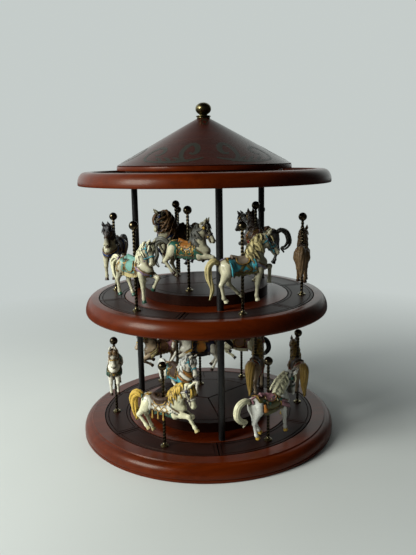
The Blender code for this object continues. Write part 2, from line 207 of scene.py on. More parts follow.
def black_lacquer():
    s = Surface("Black lacquer")
    dust = s.noise(s.place(), 900.0, 3.0)
    s.color(s.mix(s.spread(dust, 0.35, 0.75), (0.006, 0.006, 0.0065), (0.016, 0.015, 0.015)))
    s.rough(s.spread(dust, 0.3, 0.7, 0.24, 0.38))
    s.bump(dust, 0.05, 0.00005)
    return s.set(Coat_Weight=0.15, Coat_Roughness=0.18, Specular_IOR_Level=0.35)


def aged_brass(name, bright, tarnish, roughness):
    """Old lacquered brass, brown in the hollows and in soft patches."""
    s = Surface(name)
    patches = s.noise(s.place(), 260.0, 5.0, 0.6, 0.4)
    specks = s.noise(s.place(), 1700.0, 3.0, 0.6)
    base = s.mix(s.spread(patches, 0.38, 0.66), bright, tarnish)
    base = s.mix(s.spread(specks, 0.60, 0.75, 0.0, 0.7), base, shade(tarnish, 0.35))
    s.color(s.mix(s.attribute("hollow"), base, shade(tarnish, 0.18)))
    s.rough(s.spread(patches, 0.3, 0.7, roughness, roughness + 0.16))
    s.bump(specks, 0.08, 0.00006)
    return s.set(Metallic=1.0)


def glaze(name, color, wash=UMBER, strength=0.92, gloss=0.30, dapple=None, mask=None, metallic=0.0,
          coat=0.22):
    """Painted, glazed porcelain: antiquing and painted shade darken the hollows; the paint drifts a little
    in tone.

    A figure may have dapples in a second colour, and a face in the colour of mask.
    """
    s = Surface(name)
    place = s.place()
    drift = s.noise(place, 130.0, 4.0, 0.55, 0.3)
    fine = s.noise(place, 1400.0, 3.0, 0.6)
    stain = s.noise(place, 260.0, 4.0, 0.62, 1.6)
    base = s.mix(s.spread(drift, 0.32, 0.70), shade(color, 0.84), shade(color, 1.08))
    if dapple:
        spots = s.add("TexVoronoi", {"Vector": place, "Scale": 230.0, "Randomness": 0.9})
        base = s.mix(s.spread(spots.outputs["Distance"], 0.25, 0.62, 0.0, 0.8), base, dapple)
    if mask:
        base = s.mix(s.attribute("mask"), base, mask)
    base = s.mix(s.spread(fine, 0.58, 0.74, 0.0, 0.22), base, wash)
    base = s.mix(s.spread(stain, 0.52, 0.72, 0.0, 0.34), base, wash)
    # Painted shade, with brown antiquing: darker where the figure closes in on itself and between strands
    hollow = s.spread(s.attribute("hollow"), 0.07, 0.56, 0.0, strength)
    s.color(s.mix(hollow, base, wash))
    s.rough(s.spread(drift, 0.3, 0.7, gloss, gloss + 0.14))
    s.bump(s.mix(0.5, drift, fine), 0.06, 0.00012)
    return s.set(Metallic=metallic, Coat_Weight=coat, Coat_Roughness=0.12, Specular_IOR_Level=0.30)


def scroll_paint():
    """Thin dark green paint."""
    s = Surface("Scroll paint")
    patches = s.noise(s.place(), 260.0, 4.0)
    tone = s.spread(patches, 0.35, 0.7)
    s.color(s.mix(tone, (0.0125, 0.0118, 0.0064), (0.0215, 0.0175, 0.0095)))
    s.rough(s.spread(patches, 0.3, 0.7, 0.36, 0.48))
    return s.set(Coat_Weight=0.10, Specular_IOR_Level=0.22)


def floor_finish():
    """A pale floor that fades into the backdrop where it is far from the stand."""
    s = Surface("Floor")
    tone = s.noise(s.place(), 3.0, 2.0)
    distance = s.add("VectorMath", {0: s.place()}, operation="LENGTH").outputs["Value"]
    seen = s.add("LightPath").outputs["Is Camera Ray"]
    # Painted shade: away from the stand the floor turns dark grey in reflections and bounced light,
    # standing for a dim room
    dim = s.math(s.spread(distance, 0.24, 0.55), seen, "SUBTRACT", True)
    pale = s.mix(s.spread(tone, 0.3, 0.7), (0.66, 0.69, 0.675), (0.70, 0.73, 0.715))
    s.color(s.mix(dim, pale, (0.09, 0.09, 0.09)))
    fade = s.math(s.spread(distance, 0.28, 1.00), seen, "MULTIPLY")
    far = s.add("Emission", {"Color": (*BACKDROP, 1.0), "Strength": 1.0}).outputs["Emission"]
    blend = s.add("MixShader", {0: fade, 1: s.shader.outputs["BSDF"], 2: far}).outputs["Shader"]
    s.link(blend, s.nodes["Material Output"].inputs["Surface"])
    return s.set(Roughness=0.75)


MAHOGANY = wood("Mahogany", (0.058, 0.0070, 0.0006), (0.105, 0.0140, 0.0011), 0.30, 0.10)
DARK_STAIN = wood("Dark stain", (0.0125, 0.0036, 0.0024), (0.0230, 0.0066, 0.0042), 0.36, 0.0, 0.05)
CONE_STAIN = wood("Cone stain", (0.026, 0.0055, 0.0034), (0.044, 0.0080, 0.0045), 0.24, 0.03)
# Painted shade: near black on the channel's walls and floor, seen in the gaps round and between the panels
PAINTED_GAP_SHADE = wood("Painted gap shade", (0.0020, 0.0012, 0.0010), (0.0035, 0.0020, 0.0016), 0.50, 0.0)
BLACK = black_lacquer()
BRASS = aged_brass("Aged brass", (0.30, 0.25, 0.13), (0.070, 0.052, 0.026), 0.20)
DARK_BRASS = aged_brass("Dark brass", (0.12, 0.095, 0.055), (0.028, 0.022, 0.014), 0.16)
KNOB_BRASS = aged_brass("Knob brass", (0.20, 0.165, 0.075), (0.060, 0.048, 0.022), 0.20)
SCROLL_PAINT = scroll_paint()


# Meshes


def unit(v):
    return np.asarray(v, float) / np.linalg.norm(v)


def new_object(name, points, faces, materials, indices=None, sharp=35.0):
    """A smooth object from numpy or plain lists, in metres."""
    mesh = bpy.data.meshes.new(name)
    mesh.from_pydata([tuple(p) for p in points], [], [tuple(f) for f in faces])
    for material in materials:
        mesh.materials.append(material)
    if indices is not None:
        mesh.polygons.foreach_set("material_index", np.asarray(indices, np.int32))
    mesh.shade_smooth()
    if sharp:
        mesh.set_sharp_from_angle(angle=math.radians(sharp))
    obj = bpy.data.objects.new(name, mesh)
    bpy.context.scene.collection.objects.link(obj)
    return obj


def set_attribute(obj, name, values, kind="FLOAT"):
    attribute = obj.data.attributes.new(name, kind, "POINT")
    key = "vector" if kind == "FLOAT_VECTOR" else "value"
    attribute.data.foreach_set(key, np.ascontiguousarray(values, np.float32).ravel())


def finish_piece(obj, slot, *nodes):
    """Rides on the frame's one body and stands for these nodes. slot is not used."""
    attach(obj, "root")
    if nodes:
        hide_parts(*nodes)
    return obj


def arc(center, radii, start, end, steps):
    """Points on an ellipse, between two angles in degrees."""
    angles = [math.radians(start + (end - start) * i / steps) for i in range(steps + 1)]
    return [(center[0] + radii[0] * math.cos(a), center[1] + radii[1] * math.sin(a)) for a in angles]


def revolve(name, profile, materials, steps=ROUND_STEPS, center=(0.0, 0.0), indices=None):
    """A solid turned about a vertical axis from (radius, height) points that run down its outer side."""
    points, rows = [], []
    for radius, height in profile:
        if radius < 1e-9:
            rows.append([len(points)] * steps)
            points.append((center[0], center[1], height))
            continue
        rows.append(list(range(len(points), len(points) + steps)))
        points += [(x, y, height) for x, y in arc(center, (radius, radius), 0, 360, steps)[:-1]]
    pairs = list(zip(rows, rows[1:]))
    if profile[0][0] > 1e-9 and profile[-1][0] > 1e-9:
        pairs.append((rows[-1], rows[0]))
    faces, chosen = [], []
    for number, (above, below) in enumerate(pairs):
        for k in range(steps):
            loop = [above[k], below[k], below[(k + 1) % steps], above[(k + 1) % steps]]
            loop = [v for i, v in enumerate(loop) if v != loop[i - 1]]
            if len(loop) > 2:
                faces.append(loop)
                chosen.append(indices[number] if indices else 0)
    return new_object(name, points, faces, materials, chosen)


# Stand


def turned_wood(name, node, profile, material, grain_turn, grain_shift=0.0, indices=None):
    """A turned piece that stands for a node. Its grain lies at this angle in degrees, in its own plank."""
    materials = [material, PAINTED_GAP_SHADE] if indices else [material]
    obj = revolve(name, profile, materials, indices=indices)
    spots = np.array([v.co for v in obj.data.vertices])
    along = np.array(Matrix.Rotation(math.radians(grain_turn), 3, "Z"))
    set_attribute(obj, "grain", spots @ along + (grain_shift, 0.3 * grain_shift, 0.1), "FLOAT_VECTOR")
    finish_piece(obj, "mahogany" if material is MAHOGANY else "dark_stain", node)


def channelled(top, rest):
    """The profile of a board with a channel for its panels, and which faces are painted black as shade."""
    floor, ease = top - CHANNEL_DEPTH, 0.0004
    profile = [(0.0, top), (CHANNEL_INNER - ease, top), (CHANNEL_INNER, top - ease), (CHANNEL_INNER, floor)]
    profile += [(CHANNEL_OUTER, floor), (CHANNEL_OUTER, top - ease), (CHANNEL_OUTER + ease, top)]
    return profile + rest, [0, 0, 1, 1, 1, 0] + [0] * len(rest)


def base_board():
    step, step_drop, ease = 0.1735, 0.0016, 0.0004
    band, line_depth, line_width = 0.0036, 0.0009, 0.0008
    edge_foot, edge_round = band + line_width + 0.0016, step + 0.0010
    shoulder = BASE_TOP - step_drop
    outer, line_radius = BASE_RADIUS - 0.0001, BASE_RADIUS - 0.0005
    profile = [(step - ease, BASE_TOP), (step, BASE_TOP - ease)]
    profile += arc((step + 0.0012, shoulder + 0.0006), (0.0010, 0.0006), 180, 270, 3)
    profile += arc((edge_round, edge_foot), (BASE_RADIUS - edge_round, shoulder - edge_foot), 78, 0, 12)
    profile += [(outer, edge_foot - ease), (line_radius, band + line_width)]
    middle = (BASE_RADIUS - ease, band + line_width / 2)
    profile += arc(middle, (line_depth, line_width / 2), 90, 270, 4)[1:-1]
    profile += [(line_radius, band), (outer, band - ease), (outer, 0.0006)]
    profile += [(BASE_RADIUS - 0.0007, 0.0), (0.0, 0.0)]
    profile, indices = channelled(BASE_TOP, profile)
    turned_wood("base_wood", "base_board", profile, MAHOGANY, 12.0, indices=indices)


def upper_board():
    foot_radius, swell, swell_rise = 0.1718, 0.0160, 0.0196
    widest, flat = DECK_BOTTOM + 0.0040, DECK_RADIUS - 0.0090
    profile = [(flat, DECK_TOP)]
    profile += arc((DECK_RADIUS - swell, widest), (swell, swell_rise), 59, 0, 12)
    profile += arc((foot_radius, widest), (DECK_RADIUS - foot_radius, widest - DECK_BOTTOM), -10, -90, 8)
    profile.append((0.0, DECK_BOTTOM))
    profile, indices = channelled(DECK_TOP, profile)
    turned_wood("upper_wood", "upper_board", profile, MAHOGANY, -8.0, 0.4, indices)


def panel(inner, outer, start, end, floor, top, framed):
    """One sector of dark panelling, with eased edges and a fine routed line painted near black as shade.

    The line follows the outline of a framed panel, and is an arc on the others. The sides run beside a
    joint, so they keep the joint's width at every radius.
    """
    ease, half, columns = 0.0005, LINE_WIDTH / 2, 30
    if framed:
        near, far = inner + LINE_INSET, outer - LINE_INSET
        radii = [inner, inner + ease, near - half, near, near + half, far - half, far, far + half]
        radii += [outer - ease, outer]
        edge = [0.0, ease, LINE_INSET - half, LINE_INSET, LINE_INSET + half]
        line_column = 3
    else:
        near = far = DRUM_LINE_RADIUS
        radii = [inner, inner + ease, *np.linspace(0.006, near - 0.002, 12), near - half, near, near + half]
        radii += [(near + outer) / 2, outer - 3 * ease, outer - 1.2 * ease, outer - 0.3 * ease, outer]
        edge = [0.0, ease]
        line_column = 0
    low_line, high_line = radii.index(near), radii.index(far)
    last_row, last_column = len(radii) - 1, 2 * len(edge) + columns - 2
    first, last = math.radians(start), math.radians(end)
    points, lines = [], []
    for i, radius in enumerate(radii):
        sides = [(JOINT_WIDTH / 2 + step) / radius for step in edge]
        low, high = first + sides[-1], last - sides[-1]
        angles = [first + side for side in sides]
        angles += [low + (high - low) * k / columns for k in range(1, columns)]
        angles += [last - side for side in reversed(sides)]
        for j, angle in enumerate(angles):
            near_side = min(j, last_column - j)
            inside = low_line <= i <= high_line and near_side >= line_column
            on_line = inside and (i in (low_line, high_line) or near_side == line_column)
            on_edge = i in (0, last_row) or near_side == 0
            height = top - 0.9 * ease * on_edge - LINE_DEPTH * on_line
            points.append((radius * math.cos(angle), radius * math.sin(angle), height))
            lines.append(float(on_line))
    count = last_column + 1
    rim = [(0, j) for j in range(count)] + [(i, last_column) for i in range(1, last_row + 1)]
    rim += [(last_row, j) for j in range(last_column - 1, -1, -1)]
    rim += [(i, 0) for i in range(last_row - 1, 0, -1)]
    faces = []
    for i in range(last_row):
        for j in range(last_column):
            a = i * count + j
            faces.append((a, a + count, a + count + 1, a + 1))
    foot = len(points)
    points += [(*points[i * count + j][:2], floor) for i, j in rim]
    for k, (i, j) in enumerate(rim):
        after = (k + 1) % len(rim)
        faces.append((i * count + j, rim[after][0] * count + rim[after][1], foot + after, foot + k))
    faces.append(tuple(range(foot, foot + len(rim))))
    return points, faces, lines + [0.0] * len(rim)


def join_lists(pieces):
    """One list of points and one of faces from several."""
    points, faces = [], []
    for some_points, some_faces in pieces:
        faces += [tuple(v + len(points) for v in face) for face in some_faces]
        points += some_points
    return points, faces


def panelling(name, node, plank, levels, radii, sectors, turn, framed):
    """All the panels of one ring or drum in one object, each with its grain across its own middle."""
    pieces, grain, lines = [], [], []
    width = 360 / sectors
    for k in range(sectors):
        start = turn + k * width
        points, faces, on_line = panel(*radii, start, start + width, *levels, framed)
        pieces.append((points, faces))
        lines += on_line
        along = Matrix.Rotation(math.radians(-(start + width / 2 + 90)), 3, "Z")
        grain += [tuple(along @ Vector(p) + Vector((0.7 * k + plank, 0.05 * k, 0.0))) for p in points]
    obj = new_object(name, *join_lists(pieces), [DARK_STAIN], sharp=30.0)
    set_attribute(obj, "grain", grain, "FLOAT_VECTOR")
    set_attribute(obj, "line", lines)
    finish_piece(obj, "dark_stain", node)


def decks():
    for level, deck, plank in (("lower", BASE_TOP, 0.0), ("upper", DECK_TOP, 1.3)):
        track, drum = f"{level}_track", f"{level}_drum"
        panelling(f"{level}_panels", track, plank, (deck + PANEL_FLOOR, deck), (PANEL_INNER, PANEL_OUTER),
                  PANELS, PANEL_TURNS[level], True)
        levels = (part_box(drum)[0].z, deck + DRUM_HEIGHT)
        panelling(f"{level}_platform", drum, plank, levels, (DRUM_HOLE, DRUM_RADIUS), SECTORS,
                  DRUM_TURNS[level], False)


def rods():
    """The three posts keep their shape, so only their finish changes."""
    ease = 0.0003
    for number in (1, 2, 3):
        low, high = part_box(f"post_{number}")
        radius = (high.x - low.x) / 2
        profile = [(0.0, high.z), (radius - ease, high.z), (radius, high.z - ease)]
        profile += [(radius, low.z + ease), (radius - ease, low.z), (0.0, low.z)]
        center = ((low.x + high.x) / 2, (low.y + high.y) / 2)
        rod = revolve(f"rod_{number}", profile, [BLACK], 40, center)
        finish_piece(rod, "black_lacquer", f"post_{number}")


def canopy():
    crown, well, ledge, ledge_height = 0.1652, 0.1562, 0.0100, 0.0016
    ease, low_round, bulge_rise = 0.0006, 0.0014, 0.003
    profile = [(well - ledge, RIM_BOTTOM), (well - ledge, RIM_BOTTOM + ledge_height)]
    profile += [(well, RIM_BOTTOM + ledge_height), (well, RIM_TOP - ease), (well + ease, RIM_TOP)]
    bulge = (RIM_RADIUS - crown, RIM_TOP - RIM_BOTTOM - bulge_rise)
    profile += arc((crown, RIM_BOTTOM + bulge_rise), bulge, 90, 0, 14)
    profile += arc((RIM_RADIUS - low_round, RIM_BOTTOM + low_round), (low_round, low_round), 0, -90, 4)
    turned_wood("canopy_moulding", "canopy_rim", profile, MAHOGANY, 25.0, 0.9)
    profile = [(0.0, CEILING_TOP), (CEILING_RADIUS, CEILING_TOP)]
    profile += [(CEILING_RADIUS, CEILING_BOTTOM), (0.0, CEILING_BOTTOM)]
    turned_wood("canopy_board", "ceiling_board", profile, DARK_STAIN, 70.0, 1.7)


def roof():
    plinth, ease = SKIRT_RADIUS - 0.012, 0.0007
    low = SKIRT_TOP - 0.0058
    profile = [(0.0, SKIRT_TOP), *arc((SKIRT_RADIUS - ease, SKIRT_TOP - ease), (ease, ease), 90, 0, 3)]
    profile += arc((SKIRT_RADIUS - ease, low + ease), (ease, ease), 0, -90, 3)
    profile += [(plinth, low), (plinth, SKIRT_BOTTOM), (0.0, SKIRT_BOTTOM)]
    turned_wood("roof_base", "roof_skirt", profile, MAHOGANY, 40.0, 2.2)
    rings, lowest = 12, CONE_BOTTOM + CONE_EDGE
    profile = [(0.0, CONE_PEAK), (CONE_TIP - 0.0006, CONE_PEAK), (CONE_TIP, CONE_PEAK - 0.0003)]
    for k in range(1, rings + 1):
        share = k / rings
        radius = CONE_TIP + (CONE_RADIUS - CONE_TIP) * share
        profile.append((radius, CONE_PEAK + (lowest - CONE_PEAK) * share))
    profile += [(CONE_RADIUS - 0.0004, CONE_BOTTOM), (0.0, CONE_BOTTOM)]
    turned_wood("roof_shell", "roof_cone", profile, CONE_STAIN, 0.0, 2.9)


def knob():
    """Drawer-pull shape: a plate in two layers, a waisted neck and a flattened ball."""
    ball_radius, ball_half = 0.0110, 0.0086
    plate, neck = 0.0104, 0.0056
    profile = [(0.0, KNOB_TOP), *arc((0.0, KNOB_TOP - ball_half), (ball_radius, ball_half), 88, -58, 22)]
    profile += [(neck - 0.0002, KNOB_FOOT + 0.0050), (neck + 0.0004, KNOB_FOOT + 0.0042)]
    profile += arc((plate - 0.0007, KNOB_FOOT + 0.0030), (0.0007, 0.0007), 90, -90, 6)
    profile += arc((plate - 0.0018, KNOB_FOOT + 0.0009), (0.0009, 0.0009), 90, -80, 6)
    profile.append((0.0, KNOB_FOOT))
    obj = revolve("brass_knob", profile, [KNOB_BRASS], 64)
    finish_piece(obj, "aged_brass", "finial")


# Scrolls on the cone

SCROLL_REPEATS = 3
SCROLL_LIFT = 0.00010
# Each curl: how far round in radians and up in metres, its radii, its turns and the width of its stroke
CURLS = (((0.235, 0.036), (0.165, 0.027), 1.10, 0.0076), ((0.740, 0.031), (0.200, 0.021), 1.05, 0.0058))
SWEEP = ((0.08, 0.0180), (0.235, 0.0120), (0.42, 0.0085), (0.60, 0.0085), (0.760, 0.0105))
LEAF = ((0.0, 0.0090), (0.050, 0.0150), (0.125, 0.0195))
LEAF_FEET = (0.33, 0.45, 0.57)
CONE_SLOPE = math.atan2(CONE_PEAK - CONE_BOTTOM - CONE_EDGE, CONE_RADIUS - CONE_TIP)


def spiral(center, radii, start, turns, steps=22, shrink=0.85):
    """Points of a scroll that winds in to its middle, from this angle in degrees."""
    found = []
    for k in range(steps):
        t = k / (steps - 1)
        angle = math.radians(start) + turns * 2 * math.pi * t
        along, up = (radius * (1 - shrink * t) for radius in radii)
        found.append((center[0] + along * math.cos(angle), center[1] + up * math.sin(angle)))
    return found


def smooth_line(points, steps):
    """Places and directions along a smooth curve through these points."""
    points = [np.array(p, float) for p in points]
    points = [2 * points[0] - points[1]] + points + [2 * points[-1] - points[-2]]
    spans = len(points) - 3
    found = []
    for k in range(steps):
        u = k / (steps - 1) * spans
        i = min(int(u), spans - 1)
        t = u - i
        a, b, c, d = points[i:i + 4]
        bend, twist = 2 * a - 5 * b + 4 * c - d, 3 * b - a - 3 * c + d
        spot = 0.5 * (2 * b + (c - a) * t + bend * t ** 2 + twist * t ** 3)
        found.append((spot, unit(0.5 * (c - a + 2 * bend * t + 3 * twist * t ** 2))))
    return found


def on_cone(turn, up, off):
    """The place turn radians round the cone, up metres up its slope and off metres off it."""
    radius = CONE_RADIUS - up * math.cos(CONE_SLOPE) + off * math.sin(CONE_SLOPE)
    height = CONE_BOTTOM + CONE_EDGE + up * math.sin(CONE_SLOPE) + off * math.cos(CONE_SLOPE)
    return radius * math.cos(turn), radius * math.sin(turn), height


def stroke(line, width, origin):
    """A flat ribbon along a line on the cone, full in the middle and thin at both ends."""
    points, faces = [], []
    for k, (turn, up) in enumerate(line):
        before, after = line[max(k - 1, 0)], line[min(k + 1, len(line) - 1)]
        around = CONE_RADIUS - up * math.cos(CONE_SLOPE)
        along = ((after[0] - before[0]) * around, after[1] - before[1])
        size = math.hypot(*along) or 1.0
        half = width / 2 * math.sin(math.pi * (0.12 + 0.80 * k / (len(line) - 1))) ** 0.7
        side = (-along[1] / size * half / around, along[0] / size * half)
        for way, off in ((1, SCROLL_LIFT), (-1, SCROLL_LIFT), (-1, -SCROLL_LIFT), (1, -SCROLL_LIFT)):
            points.append(on_cone(origin + turn + way * side[0], up + way * side[1], off))
    for k in range(len(line) - 1):
        for j in range(4):
            faces.append((4 * k + j, 4 * k + (j + 1) % 4, 4 * k + 4 + (j + 1) % 4, 4 * k + 4 + j))
    faces += [(3, 2, 1, 0), tuple(len(points) - 4 + j for j in range(4))]
    return points, faces


def decorate_cone():
    """Faint painted scrolls round the lower part of the cone, in mirrored pairs."""
    strokes = [([spot for spot, _ in smooth_line(SWEEP, 24)], 0.0060)]
    for center, radii, turns, width in CURLS:
        strokes.append((spiral(center, radii, -90, turns, 30, 0.80), width))
    for foot in LEAF_FEET:
        strokes.append(([spot + (foot, 0) for spot, _ in smooth_line(LEAF, 10)], 0.0042))
    drop = [(0.0, 0.108 + 0.018 * i / 11) for i in range(12)]
    pieces = []
    for k in range(SCROLL_REPEATS):
        origin = math.radians(360 * k / SCROLL_REPEATS - 86)
        for way in (-1, 1):
            pieces += [stroke([(way * x, up) for x, up in line], width, origin) for line, width in strokes]
        pieces.append(stroke(drop, 0.0085, origin))
    finish_piece(new_object("cone_scrolls", *join_lists(pieces), [SCROLL_PAINT]), "dark_stain")


# Poles


def pole(name):
    """Two brass strands twisted into a rod, with a flanged foot, a collar and a ball."""
    low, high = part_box(name)
    x, y = (low.x + high.x) / 2, (low.y + high.y) / 2
    ball, foot = (high.x - low.x) / 2, 0.0057
    middle = high.z - ball
    radius, pitch, sides = 0.0021, 0.0090, 16
    bottom, top, step = low.z + 0.0022, middle - 0.0050, 0.0007
    count = int((top - bottom) / step)
    points, faces, hollow = [], [], []
    for i in range(count + 1):
        z = bottom + (top - bottom) * i / count
        for j in range(sides):
            angle = 2 * math.pi * j / sides
            strand = math.cos(2 * (angle - 2 * math.pi * (z - bottom) / pitch))
            reach = radius * (0.93 + 0.13 * strand)
            points.append((x + reach * math.cos(angle), y + reach * math.sin(angle), z))
            hollow.append(max(0.0, -strand) ** 1.5)
    for i in range(count):
        for j in range(sides):
            a, b = i * sides + j, i * sides + (j + 1) % sides
            faces.append((a, b, b + sides, a + sides))
    faces += [tuple(range(sides))[::-1], tuple(count * sides + j for j in range(sides))]
    rod = new_object(name + "_rod", points, faces, [DARK_BRASS], sharp=0)
    set_attribute(rod, "hollow", hollow)
    profile = [(0.0, 0.0040), (0.0024, 0.0040), (0.0028, 0.0034), (0.0028, 0.0020), (foot - 0.0010, 0.0015)]
    profile += [(foot - 0.0002, 0.0010), (foot, 0.0004), (foot, 0.0), (0.0, 0.0)]
    profile = [(reach, low.z + up) for reach, up in profile]
    base = revolve(name + "_foot", profile, [BRASS], 32, (x, y))
    profile = [(0.0, middle + ball), *arc((0.0, middle), (ball, ball), 86, -66, 16), (0.0, middle - 0.0056)]
    cap = revolve(name + "_ball", profile, [DARK_BRASS], 32, (x, y))
    finish_piece(rod, "aged_brass", name)
    for extra in (base, cap):
        finish_piece(extra, "aged_brass")


# Figures: bones and fields

# The step of the grids, and the distance that stands for empty space
STEP = 0.6
FAR = 9.0
# Factors of the head's size, and of the width of the trunk and the hips
HEAD_SIZE, NARROW = 1.08, 0.88
# Lengths of the neck, and of the bones of a leg from the trunk down
NECK_LENGTH = 30.0
FORE_BONES, HIND_BONES = (19.0, 14.0, 5.0), (19.0, 16.0, 5.0)
# Degrees forward of straight down for each bone of the right leg, and then of the left one
REACHING, KICKING = ((84, 32, 35), (70, -95, -60)), ((-42, 38, 45), (-25, 25, 35))
BRACED = ((-20, 22, 30), (-36, 10, 25))


def pose(fore, hind, neck, head, turn=0):
    """Leans of the legs' bones, of the neck and of the head, and how far the head turns outward."""
    return dict(fore=fore, hind=hind, neck=neck, head=head, turn=turn)


POSES = {
    "leap": pose(REACHING, KICKING, 36, 66, 10),
    "proud": pose(REACHING, KICKING, 12, 52),
    "walk": pose(((-14, -10, 8), (82, -8, -12)), ((-34, 4, 30), (8, 40, 45)), 32, 54, 14),
    "prance": pose(((62, -40, -30), (84, -70, -50)), BRACED, 25, 58),
    "trot": pose(((4, 2, 12), (72, -32, -30)), ((-30, 8, 25), (2, 24, 30)), 24, 70, 20),
    "stretch": pose(((6, 2, 8), (74, -34, -30)), ((-24, 8, 25), (2, 22, 28)), 42, 80, 34),
    "hang": pose(((12, -6, 8), (24, -14, -4)), KICKING, 18, 70),
    "gather": pose(((36, -60, -50), (66, -86, -60)), BRACED, 36, 56),
}


def window(axes, low, high, pad):
    """The part of a grid that lies within pad of a box."""
    ends = np.stack((low - pad, high + pad), axis=1)
    return tuple(slice(*np.searchsorted(axis, some)) for axis, some in zip(axes, ends))


def part_of(axes, cut):
    return [axis[some] for axis, some in zip(axes, cut)]


def rod_gap(axes, a, b, ra, rb, flat=1.0):
    """Distance over a grid from a tapering rod with round ends. flat narrows it from side to side."""
    px, py, pz = axes[0][:, None, None] - a[0], axes[1][None, :, None] - a[1], axes[2][None, None, :] - a[2]
    run = b - a
    t = np.clip((px * run[0] + py * run[1] + pz * run[2]) / max(float(run @ run), 1e-6), 0, 1)
    gap = np.sqrt((px - t * run[0]) ** 2 + ((py - t * run[1]) / flat) ** 2 + (pz - t * run[2]) ** 2)
    return gap - (ra + t * (rb - ra))


def union(*fields):
    """What is inside any of these fields."""
    return np.minimum.reduce(np.broadcast_arrays(*fields))


def both(*fields):
    """What is inside all of these fields."""
    return np.maximum.reduce(np.broadcast_arrays(*fields))


class Field:
    """Distances in millimetres on a regular grid, negative inside a shape."""

    low, high = np.array((-60.0, -21.0, -48.0)), np.array((66.0, 21.0, 66.0))
    axes = [np.arange(a, b, STEP) for a, b in zip(low, high)]
    x, y, z = axes[0][:, None, None], axes[1][None, :, None], axes[2][None, None, :]

    def __init__(self, values=None):
        if values is None:
            values = np.full([len(axis) for axis in self.axes], FAR, np.float32)
        self.values = values

    def rod(self, a, b, ra, rb, blend=1.5, flat=1.0, reach=5.0):
        """Fuses a rod with what is there, softly over blend."""
        a, b = np.array(a, float), np.array(b, float)
        cut = window(self.axes, np.minimum(a, b), np.maximum(a, b), max(ra, rb) + reach)
        gap = rod_gap(part_of(self.axes, cut), a, b, ra, rb, flat) * (0.5 + 0.5 * flat)
        here = self.values[cut]
        mix = np.clip(0.5 + 0.5 * (gap - here) / blend, 0, 1)
        self.values[cut] = gap * (1 - mix) + here * mix - blend * mix * (1 - mix)

    def chain(self, points, radii, blend=1.5, flat=1.0):
        for a, b, ra, rb in zip(points, points[1:], radii, radii[1:]):
            self.rod(a, b, ra, rb, blend, flat)

    def ball(self, spot, radius, blend=1.5):
        self.rod(spot, np.array(spot) + (0, 0, 0.01), radius, radius, blend)

    def crease(self, points, depth=1.1, width=1.4):
        """A soft groove along a line."""
        for a, b in zip(points, points[1:]):
            line = Field()
            line.rod(a, b, 0.0, 0.0, 0.01, reach=3.2 * width)
            near = line.values < 3 * width
            self.values[near] += 0.5 * depth * np.exp(-(line.values[near] / width) ** 2)

    def dent(self, other):
        self.values = np.maximum(self.values, -other.values)

    def read(self, points):
        """Distances at these points, between the grid's points."""
        at = np.clip((points - self.low) / STEP, 0, np.array(self.values.shape) - 1.001)
        cell = at.astype(int)
        part = at - cell
        total = np.zeros(len(points))
        for corner in range(8):
            bits = np.array((corner & 1, corner >> 1 & 1, corner >> 2))
            weight = np.prod(np.where(bits, part, 1 - part), axis=1)
            total += weight * self.values[tuple((cell + bits).T)]
        return total

    def depth(self, spot, way):
        """How far the surface is from a place inside, along a direction."""
        steps = np.arange(0.0, 14.0, 0.25)
        return steps[np.argmin(self.read(spot + steps[:, None] * way) < 0)]

    def out(self, x, z):
        """How far out the surface is at this place in side view."""
        i, k = int(round((x - self.low[0]) / STEP)), int(round((z - self.low[2]) / STEP))
        inside = np.nonzero(self.values[i, :, k] < 0)[0]
        return self.axes[1][inside[-1]] if len(inside) else 0.0


class Hair(Field):
    """Strands side by side. second is the distance to the second nearest one, and marks the grooves."""

    def __init__(self):
        super().__init__()
        self.second = self.values.copy()

    def strand(self, points, radii):
        points = [np.array(p, float) for p in points]
        pad = max(radii) + 3.0
        cut = window(self.axes, np.min(points, axis=0), np.max(points, axis=0), pad)
        axes = part_of(self.axes, cut)
        best = np.full([len(axis) for axis in axes], FAR, np.float32)
        for a, b, ra, rb in zip(points, points[1:], radii, radii[1:]):
            near = window(axes, np.minimum(a, b), np.maximum(a, b), pad)
            best[near] = np.minimum(best[near], rod_gap(part_of(axes, near), a, b, ra, rb))
        first = self.values[cut]
        self.second[cut] = np.where(best < first, first, np.minimum(self.second[cut], best))
        self.values[cut] = np.minimum(first, best)


class Skeleton:
    """Where a pose puts the neck, the head and the legs, and which way the head faces."""

    def __init__(self, pose):
        lean, tuck, turn = (math.radians(pose[key]) for key in ("neck", "head", "turn"))
        self.along = np.array((math.sin(lean), 0, math.cos(lean)))
        self.across = np.array((math.cos(lean), 0, -math.sin(lean)))
        self.root = np.array((16.0, 0, 4.0))
        self.poll = self.root + self.along * NECK_LENGTH
        cosine, sine = math.cos(turn), math.sin(turn)
        spin = np.array(((cosine, sine, 0), (-sine, cosine, 0), (0, 0, 1)))
        self.nose = spin @ (math.cos(tuck), 0, -math.sin(tuck))
        self.brow = spin @ (math.sin(tuck), 0, math.cos(tuck))
        self.side = spin @ (0, 1, 0)
        self.legs = []
        for side, fore, hind in zip((-1, 1), pose["fore"], pose["hind"]):
            self.legs.append((side, True, self.leg((19, 6.5 * side * NARROW, -4), FORE_BONES, fore)))
            self.legs.append((side, False, self.leg((-20, 6 * side * NARROW, 0), HIND_BONES, hind)))

    def leg(self, root, bones, leans):
        joints = [np.array(root, float)]
        for length, lean in zip(bones, leans):
            lean = math.radians(lean)
            joints.append(joints[-1] + length * np.array((math.sin(lean), 0, -math.cos(lean))))
        return joints

    def neck(self, t):
        """A point on the arched line through the neck, t from 0 at its root to 1 at the poll."""
        return self.root + self.along * NECK_LENGTH * t - self.across * 2.6 * math.sin(math.pi * t)

    def head(self, forward, up, out=0.0):
        return self.poll + HEAD_SIZE * (self.nose * forward + self.brow * up + self.side * out)


